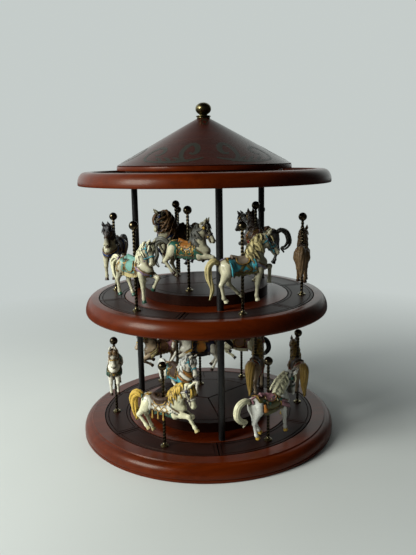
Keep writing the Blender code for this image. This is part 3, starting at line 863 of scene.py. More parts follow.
def trunk(bones):
    body = Field()
    spine = [(-20, 0, 2.6), (-9, 0, 1.4), (2, 0, -0.4), (12, 0, 0), (20, 0, 1)]
    body.chain(spine, (10.4, 9.0, 9.3, 10.3, 9.8), 3, NARROW)
    body.rod((9, 0, 5.4), (17, 0, 8.0), 5.6, 6.4, 3, NARROW)
    body.rod((-24, 0, 6), (-20, 0, 6), 6.0, 6.8, 3, NARROW)
    body.rod((22, 0, -2), (26, 0, 1.5), 7.8, 6.2, 3, NARROW)
    body.chain([bones.neck(t) for t in (0, 0.35, 0.7, 1)], (10.8, 9.0, 7.4, 6.0), 3, 0.76)
    return body


def head(bones, body):
    """Skull, cheeks, brows, ears, muzzle, jaw and lips, with holes for the nostrils, ears and mouth."""

    def rod(points, radii, blend, flat=1.0):
        places = [bones.head(*p) for p in points]
        body.chain(places, [HEAD_SIZE * r for r in radii], HEAD_SIZE * blend, flat)

    rod([(0.2, 0.6), (0.8, 0.6)], (5.6, 5.6), 2)
    holes = Field()
    for side in (-1, 1):
        rod([(4.4, -2.4, 1.7 * side), (5.2, -2.4, 1.7 * side)], (5.0, 4.7), 1.5)
        rod([(6.4, 3.0, 2.4 * side), (8.2, 2.7, 2.5 * side)], (2.0, 1.8), 1.0)
        rod([(21.2, -0.2, 1.4 * side), (21.6, -0.2, 1.6 * side)], (2.6, 2.5), 1.0)
        ear = unit(bones.along + 0.45 * bones.brow)
        base, inside = bones.head(-0.6, 4.2, 2.7 * side), bones.head(0.6, 5.2, 3.0 * side)
        tip = base + 9.5 * ear + (0, 0.8 * side, 0)
        body.chain([base, base * 0.55 + tip * 0.45 + (0, 0.7 * side, 0), tip], (1.9, 2.2, 0.6), 0.8)
        holes.ball(bones.head(23.9, 0.9, 2.0 * side), 1.1, 0.01)
        holes.rod(inside, inside + 6.5 * ear + (0, 0.6 * side, 0), 0.9, 0.5, 0.01)
    rod([(2.5, 1.4), (17, 0.5)], (4.8, 3.1), 1.5, 0.85)
    rod([(5, -3.0), (17.5, -2.2)], (3.5, 2.3), 1.2, 0.8)
    rod([(17, 0.1), (21.5, -0.5)], (3.1, 2.9), 1.0)
    rod([(16, -3.0), (20.5, -3.8)], (2.0, 1.6), 0.8)
    for out in (-2.6, -1.3, 0, 1.3, 2.6):
        holes.rod(bones.head(25, -2.7, out), bones.head(18.0, -2.1, out), 0.9, 0.45, 0.3)
    body.dent(holes)


def legs(bones, body):
    for side, fore, (root, knee, ankle, toe) in bones.legs:
        middle = root * 0.55 + knee * 0.45
        if fore:
            body.rod((16, 4.2 * side, 2.5), root + (0, 0.2 * side, -2), 6.7, 5.6, 2.5)
            body.chain([root, middle, knee], (5.4, 4.2, 2.8), 1.6)
        else:
            bend = unit(knee - root)
            body.rod((-20, 4.0 * side, 3), root + bend * 3, 8.4, 7.4, 2.5)
            body.chain([root + bend * 2, middle, knee], (7.2, 4.9, 2.8), 1.6)
            hock = np.array((-abs(bend[2]), 0, bend[0]))
            body.ball(knee + hock * 1.3, 2.1, 1.0)
        body.ball(knee, 3.1, 1.0)
        body.chain([knee, knee * 0.5 + ankle * 0.5, ankle], (2.6, 2.1, 2.1), 0.8)
        body.ball(ankle, 2.6, 0.8)
        body.rod(ankle, ankle * 0.5 + toe * 0.5, 2.2, 2.3, 0.8)


def muscles(bones, body):
    """Soft grooves that set off the shoulder, flank, haunch, neck and chest, and the bones of the face."""
    for side in (-1, 1):
        body.crease([(9, 6 * side, 10), (18, 10 * side, 3), (24, 7.5 * side, -4)])
        body.crease([(10, 9.5 * side, 4), (11, 9.8 * side, -4), (13, 8.5 * side, -9)])
        body.crease([(-11, 9.5 * side, 5), (-10, 9.5 * side, -2), (-13, 9 * side, -8)])
        body.crease([(-27, 8 * side, 5), (-24.5, 9.6 * side, -4), (-21, 9 * side, -11)])
        beside = bones.across * 4.5 + (0, 5.4 * side, 0)
        body.crease([bones.neck(t) + beside for t in (0.25, 0.55, 0.85)], 0.8)
        cheekbone = ((8.5, 0.6, 3.4), (14, 0.2, 2.9), (20, -0.2, 2.8))
        jaw = ((1.5, -1.0, 4.4), (4.5, -7.2, 3.4), (9.2, -6.0, 3.2))
        for line, depth in ((cheekbone, 0.7), (jaw, 0.6)):
            body.crease([bones.head(forward, up, out * side) for forward, up, out in line], depth, 1.0)
    body.crease([(26, 0, 6), (30.5, 0, -3), (27, 0, -9)], 1.0)


def hooves(bones):
    found = Field()
    for _, _, (_, _, ankle, toe) in bones.legs:
        down = unit(toe - ankle)
        hoof = Field()
        hoof.rod(ankle + down * 2.4, toe + down * 2.5, 2.35, 3.5, 0.01)
        sole = (found.x - toe[0]) * down[0] + (found.z - toe[2]) * down[2] - 1.6
        top = 2.2 - (found.x - ankle[0]) * down[0] - (found.z - ankle[2]) * down[2]
        found.values = union(found.values, both(hoof.values, sole, top))
    return found


def eyes(bones, body):
    balls = Field()
    spot = bones.head(7.8, 2.2)
    for side in (-1, 1):
        way = side * bones.side
        balls.ball(spot + way * (body.depth(spot, way) - 0.55), 1.7, 0.01)
    return balls


# Figures: painted harness

# The level where a cloth leaves the sides, and the place and slope of the breast strap
HANG = -3.6
STRAP_START, STRAP_FALL = (8.0, 6.0), 0.571


def band(skin, lift, edge):
    """A strap or cloth that lies on the skin wherever edge is negative."""
    return np.maximum(np.maximum(skin - lift, -skin - 0.9), edge)


def from_line(points):
    """Distance in side view from a line through these points."""
    x, z = Field.axes[0][:, None], Field.axes[2][None, :]
    best = np.full((x.shape[0], z.shape[1]), FAR)
    for (ax, az), (bx, bz) in zip(points, points[1:]):
        dx, dz = bx - ax, bz - az
        t = np.clip(((x - ax) * dx + (z - az) * dz) / (dx * dx + dz * dz), 0, 1)
        best = np.minimum(best, np.hypot(x - ax - t * dx, z - az - t * dz))
    return best[:, None, :]


def hanging(values):
    """The same sides, carried straight down below the level where a cloth leaves them."""
    level = int(np.searchsorted(Field.axes[2], HANG))
    found = values.copy()
    found[:, :, :level] = np.minimum(values[:, :, :level], values[:, :, level, None])
    return found


def strap_height(x):
    """Where the breast strap runs in side view."""
    return STRAP_START[1] - STRAP_FALL * (x - STRAP_START[0])


class Harness:
    """The painted parts that lie on one figure: a field for each name in parts."""

    def __init__(self, bones, body, barrel, style):
        self.bones, self.body, self.style = bones, body, style
        self.skin, self.near = body.values, barrel.values - 2.4
        self.parts, self.cords = {}, []
        self.cloths()
        self.saddle()
        self.straps()
        self.patterns()
        self.parts["trim"] = union(*self.cords)
        self.ornaments()

    def cord(self, lift, edge, radius, *limits):
        """A cord that lies on the skin wherever edge is zero, within these limits."""
        self.cords.append(both(np.sqrt((self.skin - lift) ** 2 + edge ** 2) - radius, *limits))

    def cloths(self):
        """A cloth with a shaped hem, and a second one that shows below it and hangs free of the belly."""
        x, z = Field.x, Field.z
        wave = np.abs(np.sin((x + 2) * math.pi / 6.5))
        shapes = {"points": 2.2 * wave, "round": 0.010 * (x + 3) ** 2 - 1.5, "waves": 1.3 * wave}
        self.hem = shapes[self.style[0]] - 5.0
        reach = np.abs(x + 3) - (20.0 if "long_cloth" in self.style else 16.5) + 0.22 * (z + 7) * (x > 0)
        sheet = both(reach, self.hem - z, z - 14)
        self.cloth = both(sheet, self.near)
        under = both(reach - 2.1, self.hem - 5.0 - z, z - 14, hanging(self.near))
        self.parts["cloth"] = band(self.skin, 1.0, self.cloth)
        self.parts["hem"] = band(hanging(self.skin), 0.5, both(under, -self.cloth - 1.0))
        self.cord(1.0, sheet, 0.6, self.near)

    def saddle(self):
        x, z = Field.x, Field.z
        if "small_flap" in self.style:
            self.flap = np.hypot((x + 1) / 8.0, (z - 10.0) / 5.0) * 5 - 5
        else:
            self.flap = np.hypot((x + 0.5 + 0.12 * z) / (8.0 - 0.12 * z), (z - 5.0) / 8.5) * 7.5 - 7.5
        if "ring_seat" in self.style:
            roll = Field()
            ring = arc((-1.5, 0.0), (11.5, 6.4), 0, 360, 16)
            ring = [(px, py, 10.4 + 2.4 * ((px + 1.5) / 11.5) ** 2) for px, py in ring]
            roll.chain(ring, [2.9] * len(ring))
            seat = roll.values + 0.35 * np.sin(2.2 * x) * np.sin(2.2 * z)
        else:
            low = 0.62 if "low_seat" in self.style else 1.0
            block = Field(self.skin.copy())
            line = [(-12.5, 0, 15.8), (-8.5, 0, 12.4), (-1, 0, 10.0), (6, 0, 11.6), (9.8, 0, 16.0)]
            block.chain(line, [low * r for r in (2.4, 4.4, 5.4, 4.4, 2.2)], 2)
            block.rod((-12.4, -4.4 * low, 13.4), (-12.4, 4.4 * low, 13.4), 2.3 * low, 2.3 * low, 2)
            seat = both(block.values, 8 - z, np.abs(x + 1.4) - 13.4)
        self.parts["saddle"] = union(seat, band(self.skin, 1.9, self.flap))
        self.cord(1.9, self.flap, 0.55)

    def straps(self):
        bones, x, y, z = self.bones, Field.x, Field.y, Field.z
        wide = 2.9 if "wide_straps" in self.style else 2.1
        breast = np.abs(0.496 * (x - STRAP_START[0]) + 0.868 * (z - STRAP_START[1])) - wide
        girth = both(np.abs(x - 2) - 1.7, z - self.hem + 0.4, self.near)
        crupper = both(np.abs(y) - 1.3, 12 + x, 6 - z)
        straps = band(self.skin, 0.9, union(both(breast, 9 - x, self.near), girth, crupper))
        self.cord(0.9, breast, 0.5, 9 - x, self.near)
        if "collar" in self.style:
            along = (x - bones.root[0]) * bones.along[0] + (z - bones.root[2]) * bones.along[2]
            collar = np.abs(along - 9.5) - 1.7
            straps = union(straps, band(self.skin, 1.0, both(collar, self.near)))
            self.cord(1.0, collar, 0.55, self.near)
        self.parts["straps"] = straps
        px, pz = x - bones.poll[0], z - bones.poll[2]
        forward, up, out = ((px * way[0] + y * way[1] + pz * way[2]) / HEAD_SIZE
                            for way in (bones.nose, bones.brow, bones.side))
        on_head = both(-3 - forward, np.abs(up) - 7, forward - 20)
        noseband = both(np.abs(forward - 13.4) - 1.0, on_head)
        cheek = both(np.abs((forward - 1.5) * 0.26 + (up - 2.0) * 0.966) - 0.75, on_head, 1 - np.abs(out))
        browband = both(np.abs(forward - 2.4 - 0.12 * up) - 0.8, on_head)
        self.parts["bridle"] = band(self.skin, 0.8, union(noseband, cheek, browband))

    def patterns(self):
        """Raised cords on the cloth and the rump, and crossed sashes."""
        x, z = Field.x, Field.z
        cloth_only = both(self.cloth + 0.8, 1.2 - self.flap)
        if "lattice" in self.style:
            for way in (-1, 1):
                slanted = (x + way * z) * 0.7071 + 1.4
                self.cord(1.0, np.abs(np.mod(slanted, 6.0) - 3.0), 0.6, cloth_only)
        if "sashes" in self.style:
            crossed = np.abs(np.abs(x - 0.5) - 9.5 + 0.9 * (z + 5)) - 2.2
            self.parts["hem"] = union(self.parts["hem"], band(self.skin, 1.5, both(crossed, cloth_only)))
            self.cord(1.5, crossed, 0.5, cloth_only)
        if "scrolls" in self.style:
            for px, way in ((-15.0, 1), (-9.8, -1), (-2.0, 1), (4.0, -1), (9.6, 1)):
                lower = spiral((px, 0.5), (3.4, 3.4), -90, 1.3 * way)
                upper = spiral((px + 1.2 * way, 7.2), (2.6, 2.6), 90, 1.2 * way)
                for curl in (lower, upper):
                    self.cord(1.1, from_line(curl), 0.65, self.cloth + 0.3)
        if "rump_scrolls" in self.style:
            for px, pz, size, start in ((-24, 2, 3.4, -40), (-20.5, -3.6, 2.6, 120), (-19.5, 7, 2.3, 200)):
                curl = spiral((px, pz), (size, size), start, 1.2)
                self.cord(0.2, from_line(curl), 0.55, -1 - self.cloth)

    def on_side(self, px, pz, side):
        """A place just proud of the figure's side."""
        return np.array((px, side * (self.body.out(px, pz) + 0.9), pz))

    def hang(self, side, tassels):
        """The style's tassels, fringe, drapes or bib on one side."""
        if "tassels" in self.style:
            for k in range(3):
                top = self.on_side(-11.0 + 8.0 * k, HANG, side) + (0, 0.5 * side, 0)
                line = [top, top + (0, 0.2 * side, -5.0), top + (0, 0, -9.5)]
                tassels.chain(line, (1.0, 0.9, 1.5), 0.5)
        if "fringe" in self.style:
            for k in range(18):
                top = self.on_side(-18.0 + 1.75 * k, HANG, side) + (0, 0.3 * side, -1.0)
                tassels.rod(top, top + (0, 0.1 * side, -4.8), 0.75, 0.95, 0.2)
        if "drape" in self.style:
            for px in (9.4, 11.2, 13.0, -18.2):
                line = [self.on_side(px + dx, pz, side) for dx, pz in ((0, 9.0), (0.6, 2.0), (0.2, -5.5))]
                tassels.chain(line, (1.1, 1.5, 1.0), 0.25)
        if "bib" in self.style:
            for k in range(7):
                px = 13.0 + 1.9 * k
                top = self.on_side(px, strap_height(px) - 1.6, side)
                tassels.rod(top, top + (0.6, 0.2 * side, -4.6), 0.8, 1.1, 0.2)

    def bloom(self, k, side, petals, leaves):
        """One flower of a garland, with two leaves."""
        spot = self.on_side(-13.0 + 4.1 * k, 6.0 + 2.2 * math.cos(1.7 * k), side) + (0, 1.0 * side, 0)
        for j in range(5):
            turn = j * 2 * math.pi / 5 + k
            petals.ball(spot + 1.15 * np.array((math.cos(turn), 0, math.sin(turn))), 0.95, 0.3)
        for turn in (0.6 + k, 2.9 + k):
            tip = spot + 3.4 * np.array((math.cos(turn), -0.1 * side, math.sin(turn)))
            leaves.chain([spot, spot * 0.5 + tip * 0.5, tip], (0.7, 1.25, 0.4), 0.3, 0.7)

    def bow(self, spot, side, ribbons):
        """A ribbon's loop and its end on one side of a knot."""
        loop = [(0, 0, 0), (0.5, 3.6 * side, 3.0), (0.8, 5.2 * side, 0.4), (0.3, 1.6 * side, -0.6)]
        end = [(0, 0, 0), (1.6, 2.6 * side, -4.0), (0.6, 4.2 * side, -7.6)]
        ribbons.chain([spot + np.array(step) for step in loop], (1.0, 1.2, 1.2, 0.8), 0.5)
        ribbons.chain([spot + np.array(step) for step in end], (0.9, 1.1, 0.7), 0.5)

    def ornaments(self):
        """Rosettes on the bridle and the breast, and what else the style asks for."""
        bones, style = self.bones, self.style
        extras = {key: Field() for key in ("rosettes", "flowers", "leaves", "tassels", "ribbons", "bag")}
        for side in (-1, 1):
            for forward, up, radius in ((2.6, 1.8, 2.1), (13.6, -1.2, 1.4)):
                spot, way = bones.head(forward, up), side * bones.side
                spot = spot + way * (self.body.depth(spot, way) + 0.3)
                extras["rosettes"].ball(spot, radius * 0.8, 0.4)
                for k in range(6):
                    turn = k * math.pi / 3
                    step = math.cos(turn) * bones.nose + math.sin(turn) * bones.brow
                    extras["rosettes"].ball(spot + radius * 0.75 * step, radius * 0.5, 0.25)
            self.hang(side, extras["tassels"])
            for k in range(6 if "studs" in style else 0):
                px = 10.5 + 2.7 * k
                extras["leaves"].ball(self.on_side(px, strap_height(px), side), 0.85, 0.2)
            if "bag" in style:
                spot = self.on_side(-15.5, 0.5, side)
                extras["bag"].chain([spot + (0, 0, 3.4), spot + (0.5, 0.6 * side, -1.6)], (2.4, 3.6), 1.0)
            for k in range(7 if "flowers" in style else 0):
                self.bloom(k, side, extras["flowers"] if k % 2 else extras["rosettes"], extras["leaves"])
        if "ribbons" in style:
            for spot in (bones.neck(0.12) + (6.5, 0, 4.0), np.array((-28.5, 0, 9.0))):
                for side in (-1, 1):
                    self.bow(spot, side, extras["ribbons"])
        chest = np.array([(px, 0, strap_height(px)) for px in np.arange(24.0, 38.0)])
        extras["rosettes"].ball(chest[np.argmax(self.body.read(chest) > 0)], 2.1, 0.4)
        self.parts.update((key, field.values) for key, field in extras.items() if field.values.min() < 0)


# Figures: mane and tail


def lock_radii(steps, thick):
    """Full near the root, and a point at the end."""
    found = []
    for k in range(steps):
        found.append(max(0.45, thick * min(1.0, 0.72 + 1.2 * k / steps) * (1 - (k / (steps - 1)) ** 3.5)))
    return found


def mane(bones, rng, hair, length=22.0, curl=1.6, thick=1.9, count=9, sweep=0.35, lift=0.6, sides=(-1,),
         fringe=1.0):
    """Wavy locks from the crest down the neck, row on row, with a forelock."""
    steps, rows = 9, 3
    for side, row, i in itertools.product(sides, range(rows), range(count)):
        place = (i + 0.5 * (row % 2)) / (count - 0.5)
        start = 0.06 + 0.98 * place
        phase = 2.3 * i + 1.7 * row + rng.uniform(0, 1.5)
        drop = length * rng.uniform(0.85, 1.12) * (0.72 + 0.34 * math.sin(math.pi * min(place, 1.0)))
        drop *= 1 - 0.80 * row / rows
        radius = 11.4 - 5.0 * start
        path = []
        for k in range(steps):
            t = k / (steps - 1)
            angle = -0.30 - 0.1 * row + t * drop / radius
            wave = curl * math.sin(phase + 5.5 * t) * (0.3 + t)
            along = start - (sweep * drop * t + wave) / NECK_LENGTH
            reach = radius + lift + 1.15 * row + 0.5 * curl * math.cos(phase + 5.5 * t) * t
            center = bones.neck(min(along, 1.0)) + bones.along * max(0, along - 1.0) * NECK_LENGTH
            aside = (0, side * 0.78 * reach * math.sin(angle), 0)
            path.append(center - bones.across * reach * math.cos(angle) + aside)
        hair.strand(path, lock_radii(steps, thick * rng.uniform(0.8, 1.15)))
    for i in range(5):
        path = []
        for k in range(7):
            t = k / 6
            rise = 5.4 - 0.9 * t + 1.8 * fringe * math.sin(t * 3.1)
            out = (i - 2) * 1.3 * (1 + 0.9 * t) + 0.8 * math.sin(5 * t + 2 * i)
            path.append(bones.head(-2.5 + 10.5 * t * fringe, rise, out))
        hair.strand(path, lock_radii(7, 1.6))


# Points in side view
TAILS = {
    "fall": [(-27, 8), (-36, 12), (-43, 5), (-42, -8), (-38, -19), (-40, -25)],
    "long": [(-27, 8), (-35, 12.5), (-42, 7), (-43, -6), (-41, -20), (-45, -32)],
    "ring": [(-27, 8), (-36, 13), (-47, 9), (-50, -3), (-43, -12), (-36, -14), (-41, -20)],
    "flying": [(-27, 8), (-37, 12), (-47, 10), (-53, 3), (-55, -5)],
    "plume": [(-27, 8), (-34, 13), (-42, 14), (-50, 7), (-47, -6), (-50, -16), (-45, -24)],
}


def tail(rng, hair, kind, thick=4.2, curl=1.0, count=5):
    spine = smooth_line([(x, 0, z) for x, z in TAILS[kind]], 20)
    side = np.array((0, 1.0, 0))
    for i in range(count + 1):
        around = 2 * math.pi * i / count
        phase = rng.uniform(0, 6.28)
        spread = thick * (0.66 if i < count else 0.1)
        path = []
        for k, (spot, run) in enumerate(spine):
            t = k / (len(spine) - 1)
            full = spread * math.sin(math.pi * min(1, 0.16 + 0.80 * t)) ** 0.8
            turn = around + 2.2 * t * curl
            wobble = 0.6 * curl * math.sin(phase + 9 * t)
            swing = side * (full * math.cos(turn) + 0.6 * wobble)
            path.append(spot + swing + np.cross(run, side) * (full * math.sin(turn) + wobble))
        hair.strand(path, lock_radii(len(spine), 0.42 * thick * rng.uniform(0.85, 1.1)))


# Figures: meshes and paint

# How far off the surface the hollows that get painted shade are looked for
REACHES = (0.9, 2.6, 4.5)
# Shares of the faces that are kept
BODY_KEPT, HOOF_KEPT, EYE_KEPT, HARNESS_KEPT, HAIR_KEPT = 0.17, 0.4, 0.6, 0.195, 0.34


def read_out(collection, name, kind, width=1):
    """A property of every item of a mesh's collection, as an array."""
    values = np.empty(width * len(collection), kind)
    collection.foreach_get(name, values)
    return values


def mesh_of(values, keep):
    """Places, normals and faces of the surface of a field, thinned to this share."""
    grid = openvdb.FloatGrid(FAR)
    grid.copyFromArray(np.ascontiguousarray(values, np.float32))
    points, _, quads = grid.convertToPolygons(isovalue=0.0, adaptivity=0.0)
    mesh = bpy.data.meshes.new("draft")
    mesh.from_pydata((points * STEP + Field.low).tolist(), [], quads.tolist())
    obj = bpy.data.objects.new("draft", mesh)
    bpy.context.scene.collection.objects.link(obj)
    obj.modifiers.new("Fewer faces", "DECIMATE").ratio = keep
    thin = obj.evaluated_get(bpy.context.evaluated_depsgraph_get()).to_mesh()
    places = read_out(thin.vertices, "co", np.float32, 3).reshape(-1, 3)
    normals = read_out(thin.vertices, "normal", np.float32, 3).reshape(-1, 3)
    corners = read_out(thin.loops, "vertex_index", np.int32)
    sizes = read_out(thin.polygons, "loop_total", np.int32)
    bpy.data.objects.remove(obj)
    bpy.data.meshes.remove(mesh)
    return places, normals, np.split(corners, np.cumsum(sizes)[:-1])


def sculpted(name, parts, whole, matrix, slot, nodes=(), mask=None, second=None):
    """One object from several painted fields: (field values, material, share of faces kept).

    The attribute hollow is high where the whole figure closes in on a place, and between strands.
    """
    points, faces, indices, hollow, materials = [], [], [], [], []
    start = 0
    for values, material, keep in parts:
        places, normals, polygons = mesh_of(values, keep)
        if material not in materials:
            materials.append(material)
        # Painted shade: hollow grows where the whole figure closes in near a place, and between strands
        shut = 0.0
        for reach in REACHES:
            shut = shut + 0.4 * np.clip(1 - whole.read(places + reach * normals) / reach, 0, 1)
        if second is not None:
            shut = np.maximum(shut, np.clip(0.8 - Field(second).read(places) / 0.6, 0, 1))
        hollow.append(shut)
        faces += [tuple(int(v) + start for v in polygon) for polygon in polygons]
        indices += [materials.index(material)] * len(polygons)
        points.append(places)
        start += len(places)
    world = np.array(matrix)
    points = np.concatenate(points)
    placed = points @ world[:3, :3].T + world[:3, 3]
    obj = new_object(name, placed.tolist(), faces, materials, indices, sharp=0)
    if mask:
        set_attribute(obj, "mask", mask(points))
    set_attribute(obj, "hollow", np.concatenate(hollow))
    finish_piece(obj, slot, *nodes)


PAINTS = {}


def paint(color, **settings):
    """A glaze in this colour, made once."""
    key = (color, tuple(sorted(settings.items())))
    if key not in PAINTS:
        PAINTS[key] = glaze(f"Glaze {len(PAINTS) + 1}", color, **settings)
    return PAINTS[key]


EYE = paint(INK, gloss=0.12, strength=0.0)
# Between a deck and the poles that stand on it
GAP = 0.0003


def look(pose, ride, size, coat, hair, hoof, harness, *style, **changes):
    """How one figure looks.

    ride is its height above the deck. harness has the colours of its cloth, hem, saddle, straps and bridle.
    """
    colors = dict(zip(("cloth", "hem", "saddle", "straps", "bridle"), harness))
    colors.update(dict.fromkeys(("trim", "rosettes", "flowers", "tassels", "ribbons"), GOLD))
    colors.update(leaves=FOREST, bag=ORANGE)
    found = dict(pose=pose, ride=ride, size=size, coat=coat, hair=hair, hoof=hoof, style=style, tilt=0,
                 slot="white", mane={}, face=None, tail="fall", tail_style={})
    for key, value in changes.items():
        (colors if key in colors else found)[key] = value
    return dict(found, colors=colors)


BOTH_SIDES = (-1, 1)
FIGURES = {
    "lower_track_1": look(
        "hang", 0.073, 0.90, IVORY, TAN, UMBER, (SEA, FOREST, UMBER, EMERALD, GOLD), "waves", "bib",
        slot="grey", tassels=EMERALD, mane=dict(sides=BOTH_SIDES, curl=2.2)),
    "lower_track_2": look(
        "leap", 0.056, 1.05, CREAM, HONEY, STRAW, (IVORY, EMERALD, UMBER, IVORY, IVORY), "points",
        "lattice", "tassels", "ribbons", "small_flap", "ring_seat", "long_cloth", "wide_straps", "studs",
        rosettes=NAVY, ribbons=FOREST, mane=dict(length=19.0, thick=2.0, count=11, curl=2.0, fringe=1.3),
        tail_style=dict(thick=5.2, count=6)),
    "lower_track_3": look(
        "stretch", 0.053, 1.06, CHALK, CREAM, HONEY, (OLIVE, OLIVE, ROSE, ROSE, FOREST), "round", "flowers",
        "ribbons", "bib", "bag", "small_flap", "low_seat", tilt=3, tail="ring", rosettes=EMERALD,
        flowers=STRAW, tassels=ROSE, ribbons=ROSE,
        mane=dict(length=24.0, thick=1.5, count=14, curl=0.3, sweep=0.75, sides=BOTH_SIDES),
        tail_style=dict(count=8, curl=0.25)),
    "lower_track_4": look(
        "trot", 0.057, 0.95, SAND, OCHRE, UMBER, (MAROON, RED, UMBER, RED, RED), "waves", "collar",
        slot="brown", tail="long", mane=dict(sides=BOTH_SIDES),
        tail_style=dict(thick=6.4, count=8, curl=0.7)),
    "lower_track_5": look(
        "gather", 0.060, 1.00, CREAM, INK, INK, (MAROON, CREAM, CHESTNUT, CREAM, MAROON), "round",
        "scrolls", tail="ring", rosettes=CREAM, mane=dict(curl=1.8)),
    "lower_track_6": look(
        "gather", 0.058, 0.98, SAND, TAUPE, UMBER, (ROSE, STRAW, CHESTNUT, STRAW, HONEY), "waves", "bib",
        slot="brown", rosettes=STRAW, tassels=STRAW),
    "lower_drum_1": look(
        "walk", 0.054, 0.95, IVORY, CHALK, UMBER, (TEAL, TURQUOISE, UMBER, ORANGE, TURQUOISE), "points",
        "collar", "scrolls", "bib", rosettes=TURQUOISE, tassels=TURQUOISE,
        mane=dict(sides=BOTH_SIDES, curl=1.2)),
    "lower_drum_2": look(
        "trot", 0.058, 0.95, SAND, OCHRE, UMBER, (TURQUOISE, RED, UMBER, TEAL, RED), "waves", "tassels",
        slot="brown", tail="long", rosettes=RED, tassels=RED, mane=dict(sides=BOTH_SIDES),
        tail_style=dict(thick=6.4, count=8, curl=0.7)),
    "lower_drum_3": look(
        "leap", 0.060, 0.98, IVORY, INK, UMBER, (NAVY, INK, ORANGE, GOLD, ORANGE), "round", "long_cloth",
        slot="blue", tail="flying", rosettes=ORANGE),
    "upper_track_1": look(
        "hang", 0.063, 1.02, BONE, SLATE, UMBER, (BLUE, NAVY, UMBER, BLUE, UMBER), "waves", "wide_straps",
        tail="ring", rosettes=BLUE, face=SLATE, mane=dict(sides=BOTH_SIDES, curl=1.0)),
    "upper_track_2": look(
        "trot", 0.056, 0.97, BONE, CREAM, FOREST, (SEA, STRAW, SEA, MAUVE, TURQUOISE), "round",
        "rump_scrolls", "scrolls", "ribbons", rosettes=TURQUOISE, ribbons=MAUVE,
        mane=dict(curl=2.4, thick=2.0, length=20.0)),
    "upper_track_3": look(
        "walk", 0.060, 1.04, BONE, STRAW, CREAM, (TURQUOISE, OLIVE, TAUPE, LAVENDER, TURQUOISE), "points",
        "sashes", "drape", "small_flap", "low_seat", tilt=6, tail="long", rosettes=NAVY, tassels=TURQUOISE,
        mane=dict(length=23.0, curl=2.4, thick=2.5)),
    "upper_track_4": look(
        "trot", 0.058, 0.92, TAN, TAN, UMBER, (MAROON, RED, UMBER, GOLD, GOLD), "waves", "collar",
        slot="grey", tail="long", mane=dict(sides=BOTH_SIDES, curl=0.8),
        tail_style=dict(thick=6.0, count=8, curl=0.7)),
    "upper_track_5": look(
        "gather", 0.066, 1.06, ASH, SMOKE, INK, (FOREST, UMBER, CHESTNUT, GOLD, UMBER), "round",
        slot="grey", tail="ring", mane=dict(curl=3.0, thick=2.2, lift=3.6, count=10)),
    "upper_track_6": look(
        "trot", 0.056, 0.95, NAVY, CHESTNUT, INK, (NAVY, MAROON, CHESTNUT, RED, RED), "waves", slot="blue",
        rosettes=RED),
    "upper_drum_1": look(
        "proud", 0.055, 1.02, BONE, SMOKE, UMBER, (EMERALD, FOREST, ORANGE, FOREST, SLATE), "waves",
        "scrolls", "flowers", "long_cloth", "small_flap", "low_seat", tail="plume", rosettes=HONEY,
        mane=dict(curl=1.8, thick=2.0)),
    "upper_drum_2": look(
        "prance", 0.064, 0.95, CHESTNUT, UMBER, INK, (MAROON, GOLD, UMBER, RED, GOLD), "waves", "fringe",
        slot="brown", tassels=RED, mane=dict(sides=BOTH_SIDES)),
    "upper_drum_3": look(
        "trot", 0.064, 1.00, BONE, BROWN, UMBER, (NAVY, NAVY, UMBER, BLUE, BLUE), "waves", "collar",
        slot="brown", rosettes=BLUE,
        mane=dict(sides=BOTH_SIDES, curl=3.4, thick=2.3, lift=4.2, count=12, length=26.0, fringe=1.7)),
}


def figure(name, seed):
    """The body, the harness and the hair of one figure, on its pole."""
    row = FIGURES[name]
    bones = Skeleton(POSES[row["pose"]])
    barrel = trunk(bones)
    body = Field(barrel.values.copy())
    legs(bones, body)
    head(bones, body)
    muscles(bones, body)
    rng = np.random.default_rng(seed)
    locks = Hair()
    mane(bones, rng, locks, **row["mane"])
    tail(rng, locks, row["tail"], **row["tail_style"])
    harness = Harness(bones, body, barrel, row["style"]).parts
    whole = Field(np.minimum.reduce([body.values, locks.values, *harness.values()]))

    low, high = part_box(f"pole_{name}")
    spot = (low + high) / 2
    heading = math.atan2(spot.y, spot.x) + math.pi / 2
    spot.z = low.z - GAP + row["ride"]
    matrix = Matrix.Translation(spot) @ Matrix.Rotation(heading, 4, "Z")
    matrix @= Matrix.Rotation(-math.radians(row["tilt"]), 4, "Y") @ Matrix.Scale(0.001 * row["size"], 4)

    coat, hair, slot = row["coat"], row["hair"], row["slot"] + "_glaze"
    dapples = dict(dapple=shade(coat, 0.55)) if coat in (ASH, SLATE) else {}
    parts = [(body.values, paint(coat, wash=UMBER, mask=row["face"], **dapples), BODY_KEPT),
             (hooves(bones).values, paint(row["hoof"]), HOOF_KEPT),
             (eyes(bones, body).values, EYE, EYE_KEPT)]

    def on_face(points):
        return np.clip(((points - bones.root) @ bones.along - 10) / 14, 0, 1)

    sculpted(f"figure_{name}", parts, whole, matrix, slot, (f"horse_{name}",), on_face)
    finish = {"trim": dict(gloss=0.28, metallic=0.35), "saddle": dict(gloss=0.48, coat=0.04)}
    parts = []
    for key, values in harness.items():
        parts.append((values, paint(row["colors"][key], **finish.get(key, {})), HARNESS_KEPT))
    sculpted(f"harness_{name}", parts, whole, matrix, slot)
    # Painted shade: the hair's dark colour fills the grooves between strands and the places near the skin
    parts = [(locks.values, paint(hair, wash=shade(hair, 0.16), gloss=0.42, coat=0.04), HAIR_KEPT)]
    sculpted(f"hair_{name}", parts, whole, matrix, slot, second=locks.second)


# Stage, light and camera


def stage():
    bpy.ops.mesh.primitive_plane_add(size=40.0, location=(0, 0, -0.0002))
    floor = bpy.context.object
    floor.name = "floor"
    floor.data.materials.append(floor_finish())


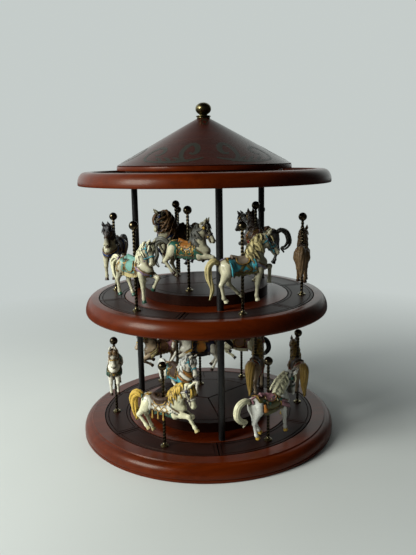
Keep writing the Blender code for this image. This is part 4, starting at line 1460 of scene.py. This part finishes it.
def daylight():
    """Soft light from a window behind and at the left, and a dimmer room in front."""
    world = bpy.data.worlds.new("Studio")
    bpy.context.scene.world = world
    sky = Nodes(world)
    ray = sky.add("TexCoord").outputs["Generated"]
    toward = sky.add("VectorMath", {0: ray, 1: (-0.57, 0.82, 0.0)}, operation="DOT_PRODUCT")
    height = sky.add("SeparateXYZ", {0: ray}).outputs["Z"]
    window_light = sky.spread(toward.outputs["Value"], -0.05, 0.50, 0.035, 0.95, "SMOOTHSTEP")
    low_only = sky.spread(height, 0.50, 0.95, 1.0, 0.06, "SMOOTHSTEP")
    glow = sky.nodes["Background"]
    glow.inputs["Color"].default_value = (0.93, 1.0, 0.975, 1.0)
    sky.link(sky.math(window_light, low_only, "MULTIPLY"), glow.inputs["Strength"])
    plain = sky.add("Background", {"Color": (*BACKDROP, 1.0)})
    seen = sky.add("LightPath").outputs["Is Camera Ray"]
    choose = sky.add("MixShader", {0: seen, 1: glow.outputs[0], 2: plain.outputs[0]})
    sky.link(choose.outputs[0], sky.nodes["World Output"].inputs["Surface"])


def soft_lamp():
    """A large lamp at the left, in front."""
    place, target = Vector((-1.45, -0.85, 1.00)), Vector((0, 0, 0.20))
    lamp = bpy.data.lights.new("key", "AREA")
    lamp.size, lamp.energy, lamp.color = 0.8, 42.0, (0.98, 1.0, 0.94)
    obj = bpy.data.objects.new("key", lamp)
    obj.location = place
    obj.rotation_euler = (target - place).to_track_quat("-Z", "Y").to_euler()
    bpy.context.scene.collection.objects.link(obj)


def camera():
    """The photo's view, fitted to the rims of the boards, the canopy and the knob."""
    place = (0.0, -0.8522, 0.3914)
    yaw, pitch, roll = math.radians(0.18), math.radians(11.24), math.radians(-0.95)
    data = bpy.data.cameras.new("camera")
    data.sensor_fit, data.sensor_height, data.lens = "VERTICAL", 36.0, 38.6
    obj = bpy.data.objects.new("camera", data)
    turn = Matrix.Rotation(-yaw, 4, "Z") @ Matrix.Rotation(math.pi / 2 - pitch, 4, "X")
    turn @= Matrix.Rotation(roll, 4, "Z")
    obj.matrix_world = Matrix.Translation(place) @ turn
    bpy.context.scene.collection.objects.link(obj)
    bpy.context.scene.camera = obj


base_board()
upper_board()
decks()
rods()
canopy()
roof()
decorate_cone()
knob()
for number, figure_name in enumerate(FIGURES):
    pole(f"pole_{figure_name}")
    figure(figure_name, number)
stage()
daylight()
soft_lamp()
camera()
bpy.context.scene.view_settings.view_transform = "Standard"
